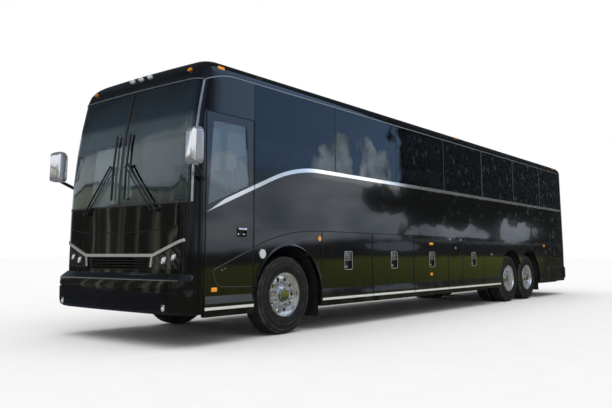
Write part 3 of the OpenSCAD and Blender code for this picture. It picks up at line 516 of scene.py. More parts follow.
def dress_nodes():
    """A finish and smooth shading for every node of the frame."""
    for name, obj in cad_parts.items():
        other = RUBBER if name.startswith("tyre_") else ALLOY if name.startswith("rim_") else PAINT
        obj.data.materials.clear()
        obj.data.materials.append(NODE_FINISH.get(name, other))
        shade(obj, CRISP if name.startswith(PANELS) else SMOOTH)


# Shapes, as (points, faces)


def loft(rings, ends=True, loop=False):
    """A skin through rings of equally many points."""
    n = len(rings[0])
    points = [Vector(p) for ring in rings for p in ring]
    faces = []
    for k in range(len(rings) if loop else len(rings) - 1):
        a, b = k * n, (k + 1) % len(rings) * n
        faces += [(a + i, a + (i + 1) % n, b + (i + 1) % n, b + i) for i in range(n)]
    if ends and not loop:
        faces.append(tuple(range(n - 1, -1, -1)))
        faces.append(tuple(range(len(points) - n, len(points))))
    return points, faces


def circle(centre, across, other, r, n):
    turns = [2 * math.pi * i / n for i in range(n)]
    return [centre + (across * math.cos(a) + other * math.sin(a)) * r for a in turns]


def turned(centre, axis, profile, n=32, ring=False):
    """A profile of (radius, height) turned about an axis through centre, or an open ring."""
    axis = Vector(axis).normalized()
    across = axis.orthogonal().normalized()
    other = axis.cross(across)
    rings = [circle(Vector(centre) + axis * h, across, other, max(r, 0.0004), n) for r, h in profile]
    return loft(rings, loop=ring)


# A direction that no bar runs along
ASKEW = Vector((0.13, 0.31, 0.94))


def tube(path, r, n=10):
    """A round bar along a path of points."""
    path = [Vector(p) for p in path]
    rings = []
    for i, p in enumerate(path):
        along = (path[min(i + 1, len(path) - 1)] - path[max(i - 1, 0)]).normalized()
        across = along.cross(ASKEW).normalized()
        rings.append(circle(p, across, along.cross(across), r, n))
    return loft(rings)


def rounded(w, h, r, n=5):
    """A rounded rectangle as 2D points."""
    points = []
    for k, (sx, sy) in enumerate(((1, 1), (-1, 1), (-1, -1), (1, -1))):
        for i in range(n + 1):
            a = math.pi / 2 * (k + i / n)
            points.append((sx * (w / 2 - r) + r * math.cos(a), sy * (h / 2 - r) + r * math.sin(a)))
    return points


def terraces(centre, right, up, size, r, least, levels):
    """Rounded rectangles over a face, one for each (inset, lift), with corners of at least that radius."""
    right, up = Vector(right).normalized(), Vector(up).normalized()
    out = right.cross(up)
    rings = []
    for inset, lift in levels:
        outline = rounded(size[0] - 2 * inset, size[1] - 2 * inset, max(r - inset, least))
        rings.append([Vector(centre) + right * a + up * b + out * lift for a, b in outline])
    return rings


def plate(centre, right, up, w, h, r, depth, edge=0.003):
    """A rounded plate standing out of a face by depth, with a softened edge."""
    levels = ((0, -SINK), (0, depth - edge), (edge * 0.3, depth - edge * 0.3), (edge, depth))
    return loft(terraces(centre, right, up, (w, h), r, 0.0008, levels))


def frame_ring(centre, right, up, w, h, r, width, depth):
    """A rounded rectangular ring standing out of a face."""
    outer = ((0, -SINK), (0, depth * 0.6), (width * 0.25, depth))
    inner = ((width * 0.75, depth), (width, depth * 0.6), (width, -SINK))
    return loft(terraces(centre, right, up, (w, h), r, 0.002, outer + inner), loop=True)


def side_plate(spot, s, *sizes):
    return plate(spot, (-s, 0, 0), UP, *sizes)


def side_ring(spot, s, *sizes):
    return frame_ring(spot, (-s, 0, 0), UP, *sizes)


def leaning_plate(found, right, *sizes):
    """A plate flat on the face that a ray found."""
    spot, out = found
    return plate(spot, right, out.cross(Vector(right)), *sizes)


def strip(low, high, out, depth, edge=0.002):
    """A flat strip with softened edges between two rows of points, standing out by depth."""
    rings = []
    for a, b, n in zip(low, high, out):
        side = (b - a).normalized() * edge
        rings.append([a - n * SINK, a + n * (depth - edge), a + side + n * depth, b - side + n * depth,
                      b + n * (depth - edge), b - n * SINK])
    return loft(rings)


def band(spots, half, out, depth, edge=0.002):
    """A flat strip that reaches half to both sides of a row of spots."""
    half = Vector(half)
    low, high = [p - half for p in spots], [p + half for p in spots]
    return strip(low, high, [Vector(out)] * len(spots), depth, edge)


def make(name, parts, finish, body="chassis", slot=None):
    """One piece from several shapes, riding on a body."""
    points, faces = [], []
    for some, corners in parts:
        first = len(points)
        points += some
        faces += [tuple(i + first for i in face) for face in corners]
    mesh = bpy.data.meshes.new(name)
    mesh.from_pydata([tuple(p) for p in points], [], faces)
    form = bmesh.new()
    form.from_mesh(mesh)
    bmesh.ops.remove_doubles(form, verts=form.verts, dist=1e-6)
    bmesh.ops.recalc_face_normals(form, faces=form.faces)
    form.to_mesh(mesh)
    form.free()
    obj = bpy.data.objects.new(name, mesh)
    bpy.context.scene.collection.objects.link(obj)
    mesh.materials.append(finish)
    shade(obj)
    slot = slot or SLOT.get(finish, "bright_metal")
    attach(obj, body)
    return obj


# Seating trim on the panels


@functools.cache
def skin(*names):
    """A search tree over the faces of some nodes."""
    points, faces = [], []
    for name in names:
        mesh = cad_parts[name].data
        first = len(points)
        points += [v.co.copy() for v in mesh.vertices]
        faces += [[i + first for i in p.vertices] for p in mesh.polygons]
    return BVHTree.FromPolygons(points, faces)


def touch(tree, start, way):
    """Where a ray meets the skin, with the face's direction towards the ray's start."""
    way = Vector(way).normalized()
    spot, normal, _, _ = tree.ray_cast(Vector(start), way)
    if spot is None:
        return None
    return spot, (normal if normal.dot(way) < 0 else -normal)


def side_spot(tree, x, z, s):
    return touch(tree, (x, BESIDE * s, z), (0, -s, 0))


def end_spot(tree, y, z, s):
    """Where the front, or the rear with s = -1, is met at (y, z)."""
    return touch(tree, (AHEAD * s, y, z), (-s, 0, 0))


def side_spots(tree, places, s):
    """Spots on the side at (x, z) places, without those that miss it."""
    found = [side_spot(tree, x, z, s) for x, z in places]
    return [spot for spot, _ in filter(None, found)]


def side_strip(tree, rows, s, depth):
    """A flat strip along the side through (x, low, high) rows, leaning with the face under its foot."""
    low, high = [], []
    for x, z0, z1 in rows:
        foot = side_spot(tree, x, z0, s)
        if foot is None:
            continue
        spot, away = foot
        rise = z1 - z0
        low.append(spot)
        high.append(Vector((x, spot.y - rise * away.z / away.y, spot.z + rise)))
    return strip(low, high, [Vector((0, s, 0))] * len(low), depth)


FRONT = skin("front_mask", "front_cap", "windscreen", "headlamps", "front_bumper")
SHELL = skin("front_cap", "roof", "side_wall_left", "side_wall_right", "rear_cap_shell")


def front_x(z):
    return end_spot(FRONT, 0.35, z, 1)[0].x


def front_round(z, reach):
    """Spots and directions round the front at height z, from the left corner to the right one."""
    x = front_x(z) - CORNER_R
    y = abs(touch(FRONT, (front_x(z) - 0.3, 3, z), (0, -1, 0))[0].y) - CORNER_R
    ways = [(y, a) for a in steps(reach, 0, 6)]
    ways += [(y * k, 0) for k in steps(0.95, -0.95, 20)]
    ways += [(-y, a) for a in steps(0, -reach, 6)]
    found = []
    for centre_y, a in ways:
        way = Vector((math.cos(a), math.sin(a), 0))
        found.append(touch(FRONT, Vector((x, centre_y, z)) + way * 1.2, -way))
    return found


def rear_band(z0, z1, s, depth, last):
    """A strip along the rear cap's side and round its corner to the angle last."""
    cap = skin("rear_cap_shell")
    bend = rear_x + REAR_R + 0.03
    flat = abs(side_spot(cap, cap_x - 0.2, z0, s)[0].y)
    ways = [(Vector((x, 0, 0)), Vector((0, s, 0))) for x in steps(cap_x - 0.004, bend, 6)]
    for a in steps(0, math.radians(last), 8):
        ways.append((Vector((bend, s * (flat - REAR_R), 0)), Vector((-math.sin(a), s * math.cos(a), 0))))
    low, high, out = [], [], []
    for centre, way in ways:
        a, b = (touch(cap, centre + way * 3 + Vector((0, 0, z)), -way) for z in (z0, z1))
        if a and b:
            low.append(a[0])
            high.append(b[0])
            out.append(way)
    return strip(low, high, out, depth)


# Bright lines, lips and seals


def belt_trim():
    """The bright belt line on doors, side walls and rear cap, pointed at its front end."""
    for s, side in SIDES.items():
        rows = []
        for x in steps(door_lo.x + 0.002, door_hi.x - 0.006, 16):
            fade = min(1.0, max(0.06, (door_hi.x - x) / BELT_TIP))
            rows.append((x, belt_at(x), belt_at(x) + BELT_H * fade))
        make(f"belt_line_door_{side}", [side_strip(skin(DOOR[s]), rows, s, BELT_DEPTH)], BRIGHT, DOOR[s])
        xs = steps(cap_x + 0.004, BELT_X, 4)[:-1] + steps(BELT_X, door_lo.x - 0.012, 24)
        rows = [(x, belt_at(x), belt_at(x) + BELT_H) for x in xs]
        wall = side_strip(skin(f"side_wall_{side}"), rows, s, BELT_DEPTH)
        rear = rear_band(BELT_Z, BELT_Z + BELT_H, s, BELT_DEPTH, 70)
        make(f"belt_line_{side}", [wall, rear], BRIGHT)


def skirt_part(name, x0, x1, n, s):
    """One length of the lower bright line on a node."""
    rows = [(x, SKIRT_Z - SKIRT_H / 2, SKIRT_Z + SKIRT_H / 2) for x in steps(x0, x1, n)]
    return side_strip(skin(name), rows, s, SKIRT_DEPTH)


def skirt_trim():
    """The lower bright line, one length on each door and panel."""
    for s, side in SIDES.items():
        for body in doors(s):
            lo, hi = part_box(body)
            make(f"skirt_line_{body}", [skirt_part(body, lo.x + 0.003, hi.x - 0.003, 4, s)], SKIRT, body)
        third, last = (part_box(body) for body in luggage_doors(s)[2:])
        runs = [(last[1].x + 0.012, third[0].x - 0.012), (axle_x["drive"] + 0.66, last[0].x - 0.012)]
        parts = [skirt_part(f"lower_panels_{side}", a, b, 3, s) for a, b in runs]
        make(f"skirt_line_panels_{side}", parts, SKIRT)


def gutter_trim():
    """The thin bright line under the roof edge, dipping at the front to the windscreen's top corner."""
    tip = front_x(glass_hi.z) - SCREEN_WRAP - 0.02
    bend = door_hi.x - 0.45
    drop = gutter_z - glass_hi.z - 0.01
    for s, side in SIDES.items():
        tree = skin("front_cap", "roof", f"side_wall_{side}", f"side_glass_{side}")
        spots = []
        for x in steps(cap_x + 0.01, bend, 24) + steps(bend, tip, 14)[1:]:
            z = gutter_z - 0.004 - drop * max(0.0, (x - bend) / (tip - bend)) ** 1.8
            found = [side_spot(tree, x, z + d, s) for d in (-GUTTER_H, 0, GUTTER_H)]
            y = s * max(abs(spot.y) for spot, _ in filter(None, found))
            spots.append(Vector((x, y, z)))
        line = band(spots, (0, 0, GUTTER_H / 2), (0, s, 0), GUTTER_DEPTH)
        rear = rear_band(gutter_z - 0.01, gutter_z + 0.002, s, GUTTER_DEPTH, 60)
        make(f"gutter_line_{side}", [line, rear], GUTTER)


def screen_edges():
    """Bright edge down both sides of the windscreen."""
    parts = []
    for s in SIDES:
        low, high, out = [], [], []
        for z in steps(glass_lo.z, glass_hi.z, 16):
            x = front_x(z) - SCREEN_WRAP
            a, b = (side_spot(FRONT, x + d, z, s) for d in (-0.022, 0.002))
            low.append(a[0])
            high.append(Vector((b[0].x, max(abs(b[0].y), abs(a[0].y) - 0.02) * s, z)))
            out.append(a[1])
        parts.append(strip(low, high, out, 0.007))
    make("screen_edge", parts, BRIGHT)


def screen_bands():
    """Strips along the top and the foot of the windscreen, and the post between its panes."""
    for name, z, half, finish in (("screen_head", glass_hi.z + 0.008, 0.007, GREY_TRIM),
                                  ("screen_foot", glass_lo.z - 0.006, 0.012, BLACK_TRIM)):
        rows = [front_round(z + d, SCREEN_EDGE_A) for d in (-half, half)]
        low, high = ([spot for spot, _ in row] for row in rows)
        make(name, [strip(low, high, [n for _, n in rows[0]], 0.006)], finish, slot="bright_metal")
    rows = [end_spot(FRONT, 0, z, 1) for z in steps(glass_lo.z + 0.01, glass_hi.z - 0.01, 16)]
    half = Vector((0, POST_W / 2, 0))
    low, high = [spot - half for spot, _ in rows], [spot + half for spot, _ in rows]
    make("screen_post", [strip(low, high, [n for _, n in rows], 0.004)], BLACK_TRIM)


def arch_beads():
    """Flared lips of the front arches, narrower where a door is near."""
    start = ARCH_R + 0.004
    for s, side in SIDES.items():
        panel = skin(f"lower_panels_{side}")
        rings = []
        for a in steps(math.radians(-4), math.radians(184), 72):
            room = door_lo.x - 0.014 - front_axle.x if math.cos(a) > 0 else ARCH_R + 0.018
            reach = min(ARCH_R + LIP_W, room / max(abs(math.cos(a)), 0.01))
            ring = []
            for share, lift in LIP:
                r = start + (reach - start) * share
                spot = side_spot(panel, front_axle.x + r * math.cos(a), tyre_r + r * math.sin(a), s)
                if spot:
                    ring.append(spot[0] + Vector((0, s * lift, 0)))
            if len(ring) == len(LIP):
                rings.append(ring)
        make(f"arch_bead_{side}", [loft(rings)], PAINT)


def door_seals():
    """Rubber edges down both ends of the side doors."""
    for s in SIDES:
        for body in doors(s):
            lo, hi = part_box(body)
            parts = []
            for x in (lo.x + 0.007, hi.x - 0.007):
                spots = side_spots(skin(body), [(x, z) for z in steps(lo.z + 0.01, hi.z - 0.01, 16)], s)
                parts.append(band(spots, (0.006, 0, 0), (0, s, 0), SEAL_RISE, SEAL_EDGE))
            make(f"edge_seal_{body}", parts, BLACK_TRIM, body)


def front_seam():
    """Sealed seam across the front panel, level in the middle and rising to both corners."""
    mask = skin("front_mask")
    spots = []
    for y in steps(-1.1, 1.1, 44):
        z = SEAM_Z + SEAM_RISE * (max(0.0, abs(y) - SEAM_LEVEL) / SEAM_RUN) ** 2
        spots.append(end_spot(mask, y, z + 0.006, 1)[0])
    make("front_seam_seal", [band(spots, (0, 0, 0.0055), (1, 0, 0), SEAL_RISE, SEAL_EDGE)], BLACK_TRIM)


def roof_seams():
    """Sealed joints of the roof with both caps."""
    for name, x in (("roof_seam_front", door_seam_x), ("roof_seam_rear", cap_x)):
        low, high, out = [], [], []
        for a in steps(-0.62 * math.pi, 0.62 * math.pi, 60):
            way = Vector((0, math.sin(a), math.cos(a)))
            starts = [Vector((x + d, 0, ROOF_MIDDLE_Z)) + way * 3 for d in (-0.004, 0.004)]
            ends = [touch(SHELL, start, -way) for start in starts]
            if all(ends) and ends[0][0].z > wall_foot_z + 0.9:
                low.append(ends[0][0])
                high.append(ends[1][0])
                out.append(way)
        make(name, [strip(low, high, out, 0.0025, SEAL_EDGE)], BLACK_TRIM, slot="liner_plastic")


# Handles, lamps and small fittings

LUGGAGE_LOCK = [(0.017, 0), (0.017, 0.012), (0.013, 0.015), (0, 0.015)]
DOOR_LOCK = [(0.013, 0), (0.013, 0.014), (0.01, 0.017), (0, 0.017)]
SIDE_LAMP_RIM = [(0.07, -0.002), (0.07, 0.008), (0.064, 0.014), (0.058, 0.012), (0.058, -0.002)]
TAIL_BEZEL = [(0.094, 0), (0.094, 0.014), (0.086, 0.019), (0.08, 0.016), (0.08, 0)]


def luggage_handles():
    """Framed paddle handles in the recesses of the luggage doors."""
    for s in SIDES:
        y = s * FACE_Y
        back = y - 0.028 * s
        for body in luggage_doors(s):
            lo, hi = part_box(body)
            x, z = (lo.x + hi.x) / 2, CREASE_Z - 0.425
            tag = body[-2:]
            parts = [side_ring((x, y, z), s, 0.206, 0.286, 0.034, 0.014, 0.007),
                     side_plate((x + 0.038 * s, back, z - 0.094), s, 0.062, 0.034, 0.008, 0.018, 0.004),
                     side_plate((x, back, z + 0.004), s, 0.164, 0.01, 0.004, 0.025)]
            make(f"luggage_handle_{tag}", parts, HANDLE_FRAME, body)
            flap = side_plate((x, back, z + 0.071), s, 0.162, 0.116, 0.014, 0.022, 0.005)
            make(f"luggage_flap_{tag}", [flap], HANDLE_GREY, body)
            dark = [side_plate((x, back, z), s, 0.192, 0.272, 0.028, 0.004),
                    turned((x - 0.045 * s, back, z - 0.088), (0, s, 0), LUGGAGE_LOCK, 20)]
            make(f"luggage_latch_{tag}", dark, BLACK_TRIM, body)


def door_handles():
    """Bright pull bars over the dark cups of the front doors, with a lock below."""
    x, z = door_lo.x + 0.211, wall_foot_z - 0.064
    for s, side in SIDES.items():
        y = s * FACE_Y
        back = y - 0.022 * s
        parts = [side_plate((x, y - 0.004 * s, z + 0.036), s, 0.15, 0.034, 0.01, 0.024, 0.006),
                 side_plate((x - 0.045 * s, back, z - 0.028), s, 0.045, 0.02, 0.006, 0.016, 0.004),
                 turned((x + 0.05 * s, back, z - 0.026), (0, s, 0), DOOR_LOCK, 20)]
        make(f"door_handle_{side}", parts, CHROME, DOOR[s])
        cup = [side_plate((x, back, z), s, 0.152, 0.102, 0.016, 0.004),
               side_ring((x, y, z), s, 0.17, 0.12, 0.022, 0.008, 0.003)]
        make(f"door_handle_cup_{side}", cup, BLACK_TRIM, DOOR[s])


def small_lamps():
    """Reflectors and clearance lamps on doors, luggage doors and roof edge."""
    for s, side in SIDES.items():
        spot = side_spot(skin(DOOR[s]), door_hi.x - 0.15, 0.65, s)[0]
        # Painted glow: this reflector glows with the amber lens
        make(f"door_reflector_{side}", [side_plate(spot, s, 0.085, 0.05, 0.008, 0.011)], AMBER, DOOR[s])
        body = luggage_doors(s)[2]
        lo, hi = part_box(body)
        x = (lo.x + hi.x) / 2 + 0.03
        upper, lower = (side_spot(skin(body), x, z, s)[0] for z in (1.262, 0.71))
        lamps = [side_plate(upper, s, 0.13, 0.046, 0.02, 0.014),
                 side_plate(lower, s, 0.075, 0.05, 0.008, 0.01)]
        make(f"bay_lamps_{side}", lamps, AMBER, body)
        places = ((-0.28, 3.42), (cap_x - 0.25, 3.4), (door_hi.x - 0.23, 3.36))
        found = [side_spot(SHELL, x, z, s) for x, z in places]
        roof = [leaning_plate(each, (-s, 0, 0), 0.11, 0.04, 0.016, 0.012) for each in found]
        make(f"roof_lamps_{side}", roof, AMBER)


# Round lamps on the front as (y, z, radius), and the lamps in the middle of the header
FRONT_LAMPS = [(0.90, 1.0, 0.042), (1.07, 1.037, 0.035), (1.07, 0.458, 0.03)]
HEADER_LAMPS_Y = (-0.19, 0, 0.19)
HEADER_LAMPS_Z = 3.362


def front_lamps():
    """Round lamp units behind the dark covers, fog lamps in the bumper, and clear lamps in the header."""
    bowls, glasses = [], []
    for s in SIDES:
        for y, z, r in FRONT_LAMPS:
            spot, out = end_spot(FRONT, y * s, z, 1)
            out = (out + Vector((1.2, 0, 0))).normalized()
            base = spot - out * 0.004
            rim = [(r + 0.012, 0), (r + 0.012, 0.006), (r + 0.006, 0.011), (r, 0.009)]
            bowl = [(r * 0.8, 0.002), (r * 0.45, 0.001), (0, 0.001)]
            bowls.append(turned(base, out, rim + bowl, 36))
            dome = [(r * 0.72, 0.001), (r * 0.7, 0.008), (r * 0.5, 0.016), (r * 0.25, 0.02), (0, 0.021)]
            glasses.append(turned(base, out, dome))
    for y in HEADER_LAMPS_Y:
        found = end_spot(FRONT, y, HEADER_LAMPS_Z, 1)
        glasses.append(leaning_plate(found, (0, 1, 0), 0.078, 0.046, 0.022, 0.026, 0.008))
    make("lamp_bowls", bowls, CHROME)
    make("lamp_domes", glasses, LAMP_CLEAR)


def side_lamp_rims():
    """Bright rims of the big side lamps ahead of the front arches."""
    rims = []
    for s, side in SIDES.items():
        spot = side_spot(skin(f"lower_panels_{side}"), front_axle.x + 0.53, wall_foot_z - 0.329, s)[0]
        rims.append(turned(spot, (0, s, 0), SIDE_LAMP_RIM, 36, True))
    make("side_lamp_rims", rims, CHROME)


# Front end of the lids in the front doors
LID_X = door_hi.x - 0.14
LID_H = 0.22


def lid_edges(s):
    """Edge beads of the lid below the crease of a front door, and two catches."""
    door = skin(DOOR[s])
    top = [(x, crease_at(x) - 0.016) for x in steps(door_lo.x + 0.006, LID_X, 10)]
    foot = crease_at(LID_X) - LID_H
    nose = [(LID_X - 0.012, foot + 0.12), (LID_X - 0.035, foot + 0.06), (LID_X - 0.075, foot + 0.018)]
    nose.append((LID_X - 0.14, foot))
    under = [nose[-1], (door_lo.x + 0.006, foot - 0.012)]
    lines = ((top, 0.003), ([top[-1]] + nose, 0.0018), (under, 0.0018))
    beads = [tube(side_spots(door, places, s), r, 6) for places, r in lines]
    for x in (LID_X - 0.13, LID_X - 0.18):
        beads.append(side_plate(side_spot(door, x, crease_at(x) - 0.075, s)[0], s, 0.03, 0.014, 0.004, 0.006))
    make(f"lid_edge_{SIDES[s]}", beads, GREY_TRIM, DOOR[s])


def crease_shadow_strips(s):
    """Black strips in the crease groove, in two lengths on the fixed panel and one on the front door: a
    painted shadow line under the crease.
    """
    side = SIDES[s]
    arch_x = front_axle.x - ARCH_R
    groove_x = arch_x + 0.119
    fixed = [steps(arch_x - 0.022, groove_x - 0.001, 4), steps(groove_x + 0.001, door_lo.x - 0.014, 28)]
    moving = [steps(door_lo.x + 0.002, LID_X, 10)]
    # Painted shadow: the black strips fill the groove where shade falls under the crease
    for name, body, runs in ((f"lower_panels_{side}", "chassis", fixed), (DOOR[s], DOOR[s], moving)):
        rows = [[(x, crease_at(x) - 0.0115, crease_at(x) - 0.0005) for x in xs] for xs in runs]
        seals_and_shadow_strips = [side_strip(skin(name), each, s, SEAL_RISE) for each in rows]
        make(f"crease_shadow_strip_{body}_{side}", seals_and_shadow_strips, BLACK_TRIM, body)


# Locks on the fixed panels as (x, z, radius), and the hinges of the filler lid
PANEL_LOCKS = ((-1.675, 1.069, 0.026), (-0.004, 1.192, 0.024))
HINGES_X = (-0.23, 0.23)


def panel_locks(s):
    """Locks on the fixed panels and hinges of the filler lid."""
    panel = skin(f"lower_panels_{SIDES[s]}")
    parts = []
    for x, z, r in PANEL_LOCKS:
        spot = side_spot(panel, x, z, s)[0]
        profile = [(r, -SINK), (r, 0.005), (r * 0.8, 0.009), (r * 0.45, 0.009), (r * 0.4, 0.006), (0, 0.006)]
        parts.append(turned(spot, (0, s, 0), profile, 24))
    for x in HINGES_X:
        parts.append(side_plate(side_spot(panel, x, wall_foot_z - 0.05, s)[0], s, 0.075, 0.03, 0.008, 0.008))
    make(f"panel_locks_{SIDES[s]}", parts, BRIGHT)


def pane_seals(s):
    """Upright seals between the side panes."""
    glass = skin(f"side_glass_{SIDES[s]}", f"side_wall_{SIDES[s]}")
    seals_and_shadow_strips = []
    for i in range(PANES):
        x = PANE_X + (door_seam_x - PANE_X) * i / PANES
        spots = []
        for z in steps(BELT_Z + BELT_H + 0.012, gutter_z - 0.02, 6):
            y = max(abs(side_spot(glass, x + d, z, s)[0].y) for d in (-0.03, 0.03))
            spots.append(Vector((x, y * s, z)))
        seals_and_shadow_strips.append(band(spots, (0.006, 0, 0), (0, s, 0), SEAL_RISE, SEAL_EDGE))
    make(f"pane_seals_{SIDES[s]}", seals_and_shadow_strips, SEAL)


def cant_vent(s):
    """A small vent in the roof edge behind the front doors."""
    found = side_spot(SHELL, door_lo.x - 0.12, 3.385, s)
    make(f"cant_vent_{SIDES[s]}", [leaning_plate(found, (-s, 0, 0), 0.12, 0.05, 0.02, 0.005)], BLACK_TRIM)


def tail_details():
    """Bezels of the tail lamps, reflectors and the handles of the engine door."""
    rear = skin("rear_cap_shell", "tail_lamps")
    right = (0, -1, 0)
    rings, reflectors = [], []
    for s in SIDES:
        for i in range(3):
            spot, out = end_spot(rear, s * 1.105, 0.95 + 0.21 * i, -1)
            out = (out + Vector((-0.3, 0, 0))).normalized()
            rings.append(turned(spot - out * 0.014, out, TAIL_BEZEL, 36, True))
        spot = end_spot(skin("rear_bumper_bar"), s * 0.9, 0.6, -1)[0]
        reflectors.append(plate(spot, right, UP, 0.16, 0.06, 0.012, 0.008))
    make("tail_bezels", rings, BRIGHT)
    # Painted glow: these reflectors glow with the red lens
    make("rear_reflectors", reflectors, RED)
    latches = []
    for y in (-0.62, 0.62):
        spot = end_spot(skin("engine_door"), y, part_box("engine_door")[0].z + 0.055, -1)[0]
        latches.append(frame_ring(spot, right, UP, 0.15, 0.07, 0.015, 0.012, 0.006))
        latches.append(plate(spot, right, UP, 0.1, 0.03, 0.006, 0.014, 0.004))
    make("engine_door_latches", latches, BRIGHT, "engine_door")


def mirror_glasses():
    """Mirror faces on the back of both heads, each in a rubber rim."""
    faces, rims = [], []
    x, y, z = MIRROR_HEAD
    for s in SIDES:
        turn = -MIRROR_TURN * s
        back = Vector((-math.cos(turn), -math.sin(turn), 0))
        right = back.cross(Vector(UP))
        spot = Vector((x, y * s, z)) + back * 0.065
        faces.append(plate(spot, right, UP, 0.2, 0.37, 0.078, 0.003, 0.001))
        rims.append(frame_ring(spot, right, UP, 0.226, 0.396, 0.09, 0.014, 0.006))
    make("mirror_faces", faces, MIRROR)
    make("mirror_rims", rims, BLACK_TRIM)


# Wheels: tread ribs as (edge, edge), the wall as (radius, half width), covers as (radius, height)
TREAD_RIBS = [(0.1075, 0.075), (0.065, 0.029), (0.019, -0.019), (-0.029, -0.065), (-0.075, -0.1075)]
GROOVE = 0.012
WALL = [(0.2866, 0.1175), (0.296, 0.127), (0.311, 0.1335), (0.318, 0.1372), (0.345, 0.1433), (0.372, 0.1472),
        (0.388, 0.1478), (0.391, 0.1496), (0.397, 0.1496), (0.4, 0.1472), (0.43, 0.1458), (0.456, 0.1436),
        (0.459, 0.1452), (0.466, 0.1452), (0.469, 0.1424), (0.488, 0.1376), (0.504, 0.1315), (0.514, 0.1195)]
TYRE_TURNS = 216
TWIN_GAP = 0.335
NUT_COVER = [(0.027, 0), (0.027, 0.006), (0.0225, 0.01), (0.0215, 0.042), (0.017, 0.056), (0.009, 0.062),
             (0, 0.063)]
NUT_CIRCLE_R = 0.1675
STUD = [(0.011, 0), (0.011, 0.009), (0.008, 0.013), (0, 0.013)]
STUD_CIRCLE_R = 0.12
HUB_COVER = [(0.096, -0.006), (0.098, 0.004), (0.09, 0.012), (0.08, 0.0185), (0.078, 0.036), (0.073, 0.042),
             (0.04, 0.0432), (0, 0.0435)]
RIM_EDGE = [(0.2845, 0.0), (0.2895, 0.0045), (0.296, 0.0045), (0.2995, 0.0)]


def tyre_shape(x, y, s):
    """A road tyre: ribbed tread with notched shoulders and sipes, and a wall with moulded rings."""
    tread = []
    for a, b in TREAD_RIBS:
        top = [(tyre_r, a), (tyre_r, (a + b) / 2), (tyre_r, b)]
        tread += [(tyre_r - GROOVE, a + 0.001)] + top + [(tyre_r - GROOVE, b - 0.001)]
    profile = WALL + tread[1:-1] + [(r, -w) for r, w in reversed(WALL)]
    rings = []
    for i in range(TYRE_TURNS):
        a = 2 * math.pi * i / TYRE_TURNS
        ring = []
        for r, w in profile:
            notch = abs(w) > 0.07 and r > 0.503 and i % 4 == 0
            sipe = r > tyre_r - 0.001 and i % 6 == (0 if w > 0 else 3)
            depth = 0.007 if notch else 0.003 if sipe else 0.0
            ring.append((x + (r - depth) * math.cos(a), y + w * s, tyre_r + (r - depth) * math.sin(a)))
        rings.append(ring)
    return loft(rings, loop=True)


def round_hub(x, y, r, n, first):
    """n places in a circle about an axle, the first at an angle in degrees."""
    turns = [math.radians(360 / n * i + first) for i in range(n)]
    return [(x + r * math.cos(a), y, tyre_r + r * math.sin(a)) for a in turns]


def wheel_dress(axle, s):
    """Tyre, nut covers, studs, hub cover, rim edge and valve of one wheel or pair."""
    x, y = axle_x[axle], front_axle.y
    twin = axle == "drive"
    name = f"{axle}_{SIDES[s]}"
    body = f"wheel_{name}"
    tyres = [tyre_shape(x, s * (y - d), s) for d in ((0, TWIN_GAP) if twin else (0,))]
    tread = make(f"tread_{name}", tyres, RUBBER, body)
    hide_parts(f"tyre_{name}")
    face = y + (-0.1 if twin else 0.06)
    nose = face + (0.15 if twin else 0.04)
    out = (0, s, 0)
    nuts = round_hub(x, s * (face + 0.004), NUT_CIRCLE_R, 10, 18)
    studs = round_hub(x, s * (face + 0.0135), STUD_CIRCLE_R, 8, 10)
    covers = [turned(spot, out, NUT_COVER, 14) for spot in nuts]
    covers += [turned(spot, out, STUD, 6) for spot in studs]
    covers.append(turned((x, s * nose, tyre_r), out, HUB_COVER, 40))
    covers.append(turned((x, s * (y + 0.138), tyre_r), out, RIM_EDGE, 72, True))
    valve = ((0.255, 0.003, 0), (0.252, 0.04, 0.004), (0.246, 0.075, 0.01))
    covers.append(tube([(x + a, s * (face + b), tyre_r + c) for a, b, c in valve], 0.005))
    make(f"wheel_covers_{name}", covers, CHROME, body)


# Cabin: seats, and the driver's place

SEAT_ROWS = 12
SEAT_PITCH = 0.85
SEAT_W = 0.44
PAD_W = SEAT_W - 0.02
PAD_SWELL = 0.012
AISLE_Y = 0.27
ARM_Y = 0.205
BACK_LEAN = math.radians(-81)
deck_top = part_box("floor_deck")[1].z
first_row_x = door_seam_x - 0.42
driver_x = door_seam_x + 0.24
DRIVER_FLOOR = 1.04
DRIVER_Y = 0.62


def pad(name, size):
    """A foam block swollen by cloth pressure from a slightly smaller box, by no more than PAD_SWELL."""
    form = bmesh.new()
    bmesh.ops.create_cube(form, size=2)
    bmesh.ops.scale(form, vec=[v / 2 - PAD_SWELL for v in size], verts=form.verts)
    bmesh.ops.bevel(form, geom=form.edges[:], offset=0.02, segments=3, affect="EDGES", profile=0.6)
    mesh = bpy.data.meshes.new(name)
    form.to_mesh(mesh)
    form.free()
    obj = bpy.data.objects.new(name, mesh)
    bpy.context.scene.collection.objects.link(obj)
    bpy.context.view_layer.objects.active = obj
    mesh.remesh_voxel_size = 0.024
    bpy.ops.object.voxel_remesh()
    start = [v.co.copy() for v in obj.data.vertices]
    cloth = obj.modifiers.new("cloth", "CLOTH")
    cloth.settings.use_pressure = True
    cloth.settings.uniform_pressure_force = 4
    cloth.settings.effector_weights.gravity = 0
    scene = bpy.context.scene
    for f in range(1, 21):
        scene.frame_set(f)
    shape = obj.evaluated_get(bpy.context.evaluated_depsgraph_get()).to_mesh()
    moved = [v.co.copy() for v in shape.vertices]
    obj.modifiers.remove(cloth)
    scene.frame_set(1)
    for v, a, b in zip(obj.data.vertices, start, moved):
        push = b - a
        v.co = a + push * min(1.0, PAD_SWELL / max(push.length, 1e-6))
    points = [v.co.copy() for v in obj.data.vertices]
    faces = [tuple(p.vertices) for p in obj.data.polygons]
    bpy.data.objects.remove(obj)
    return points, faces


def placed(shape, matrix):
    return [matrix @ p for p in shape[0]], shape[1]


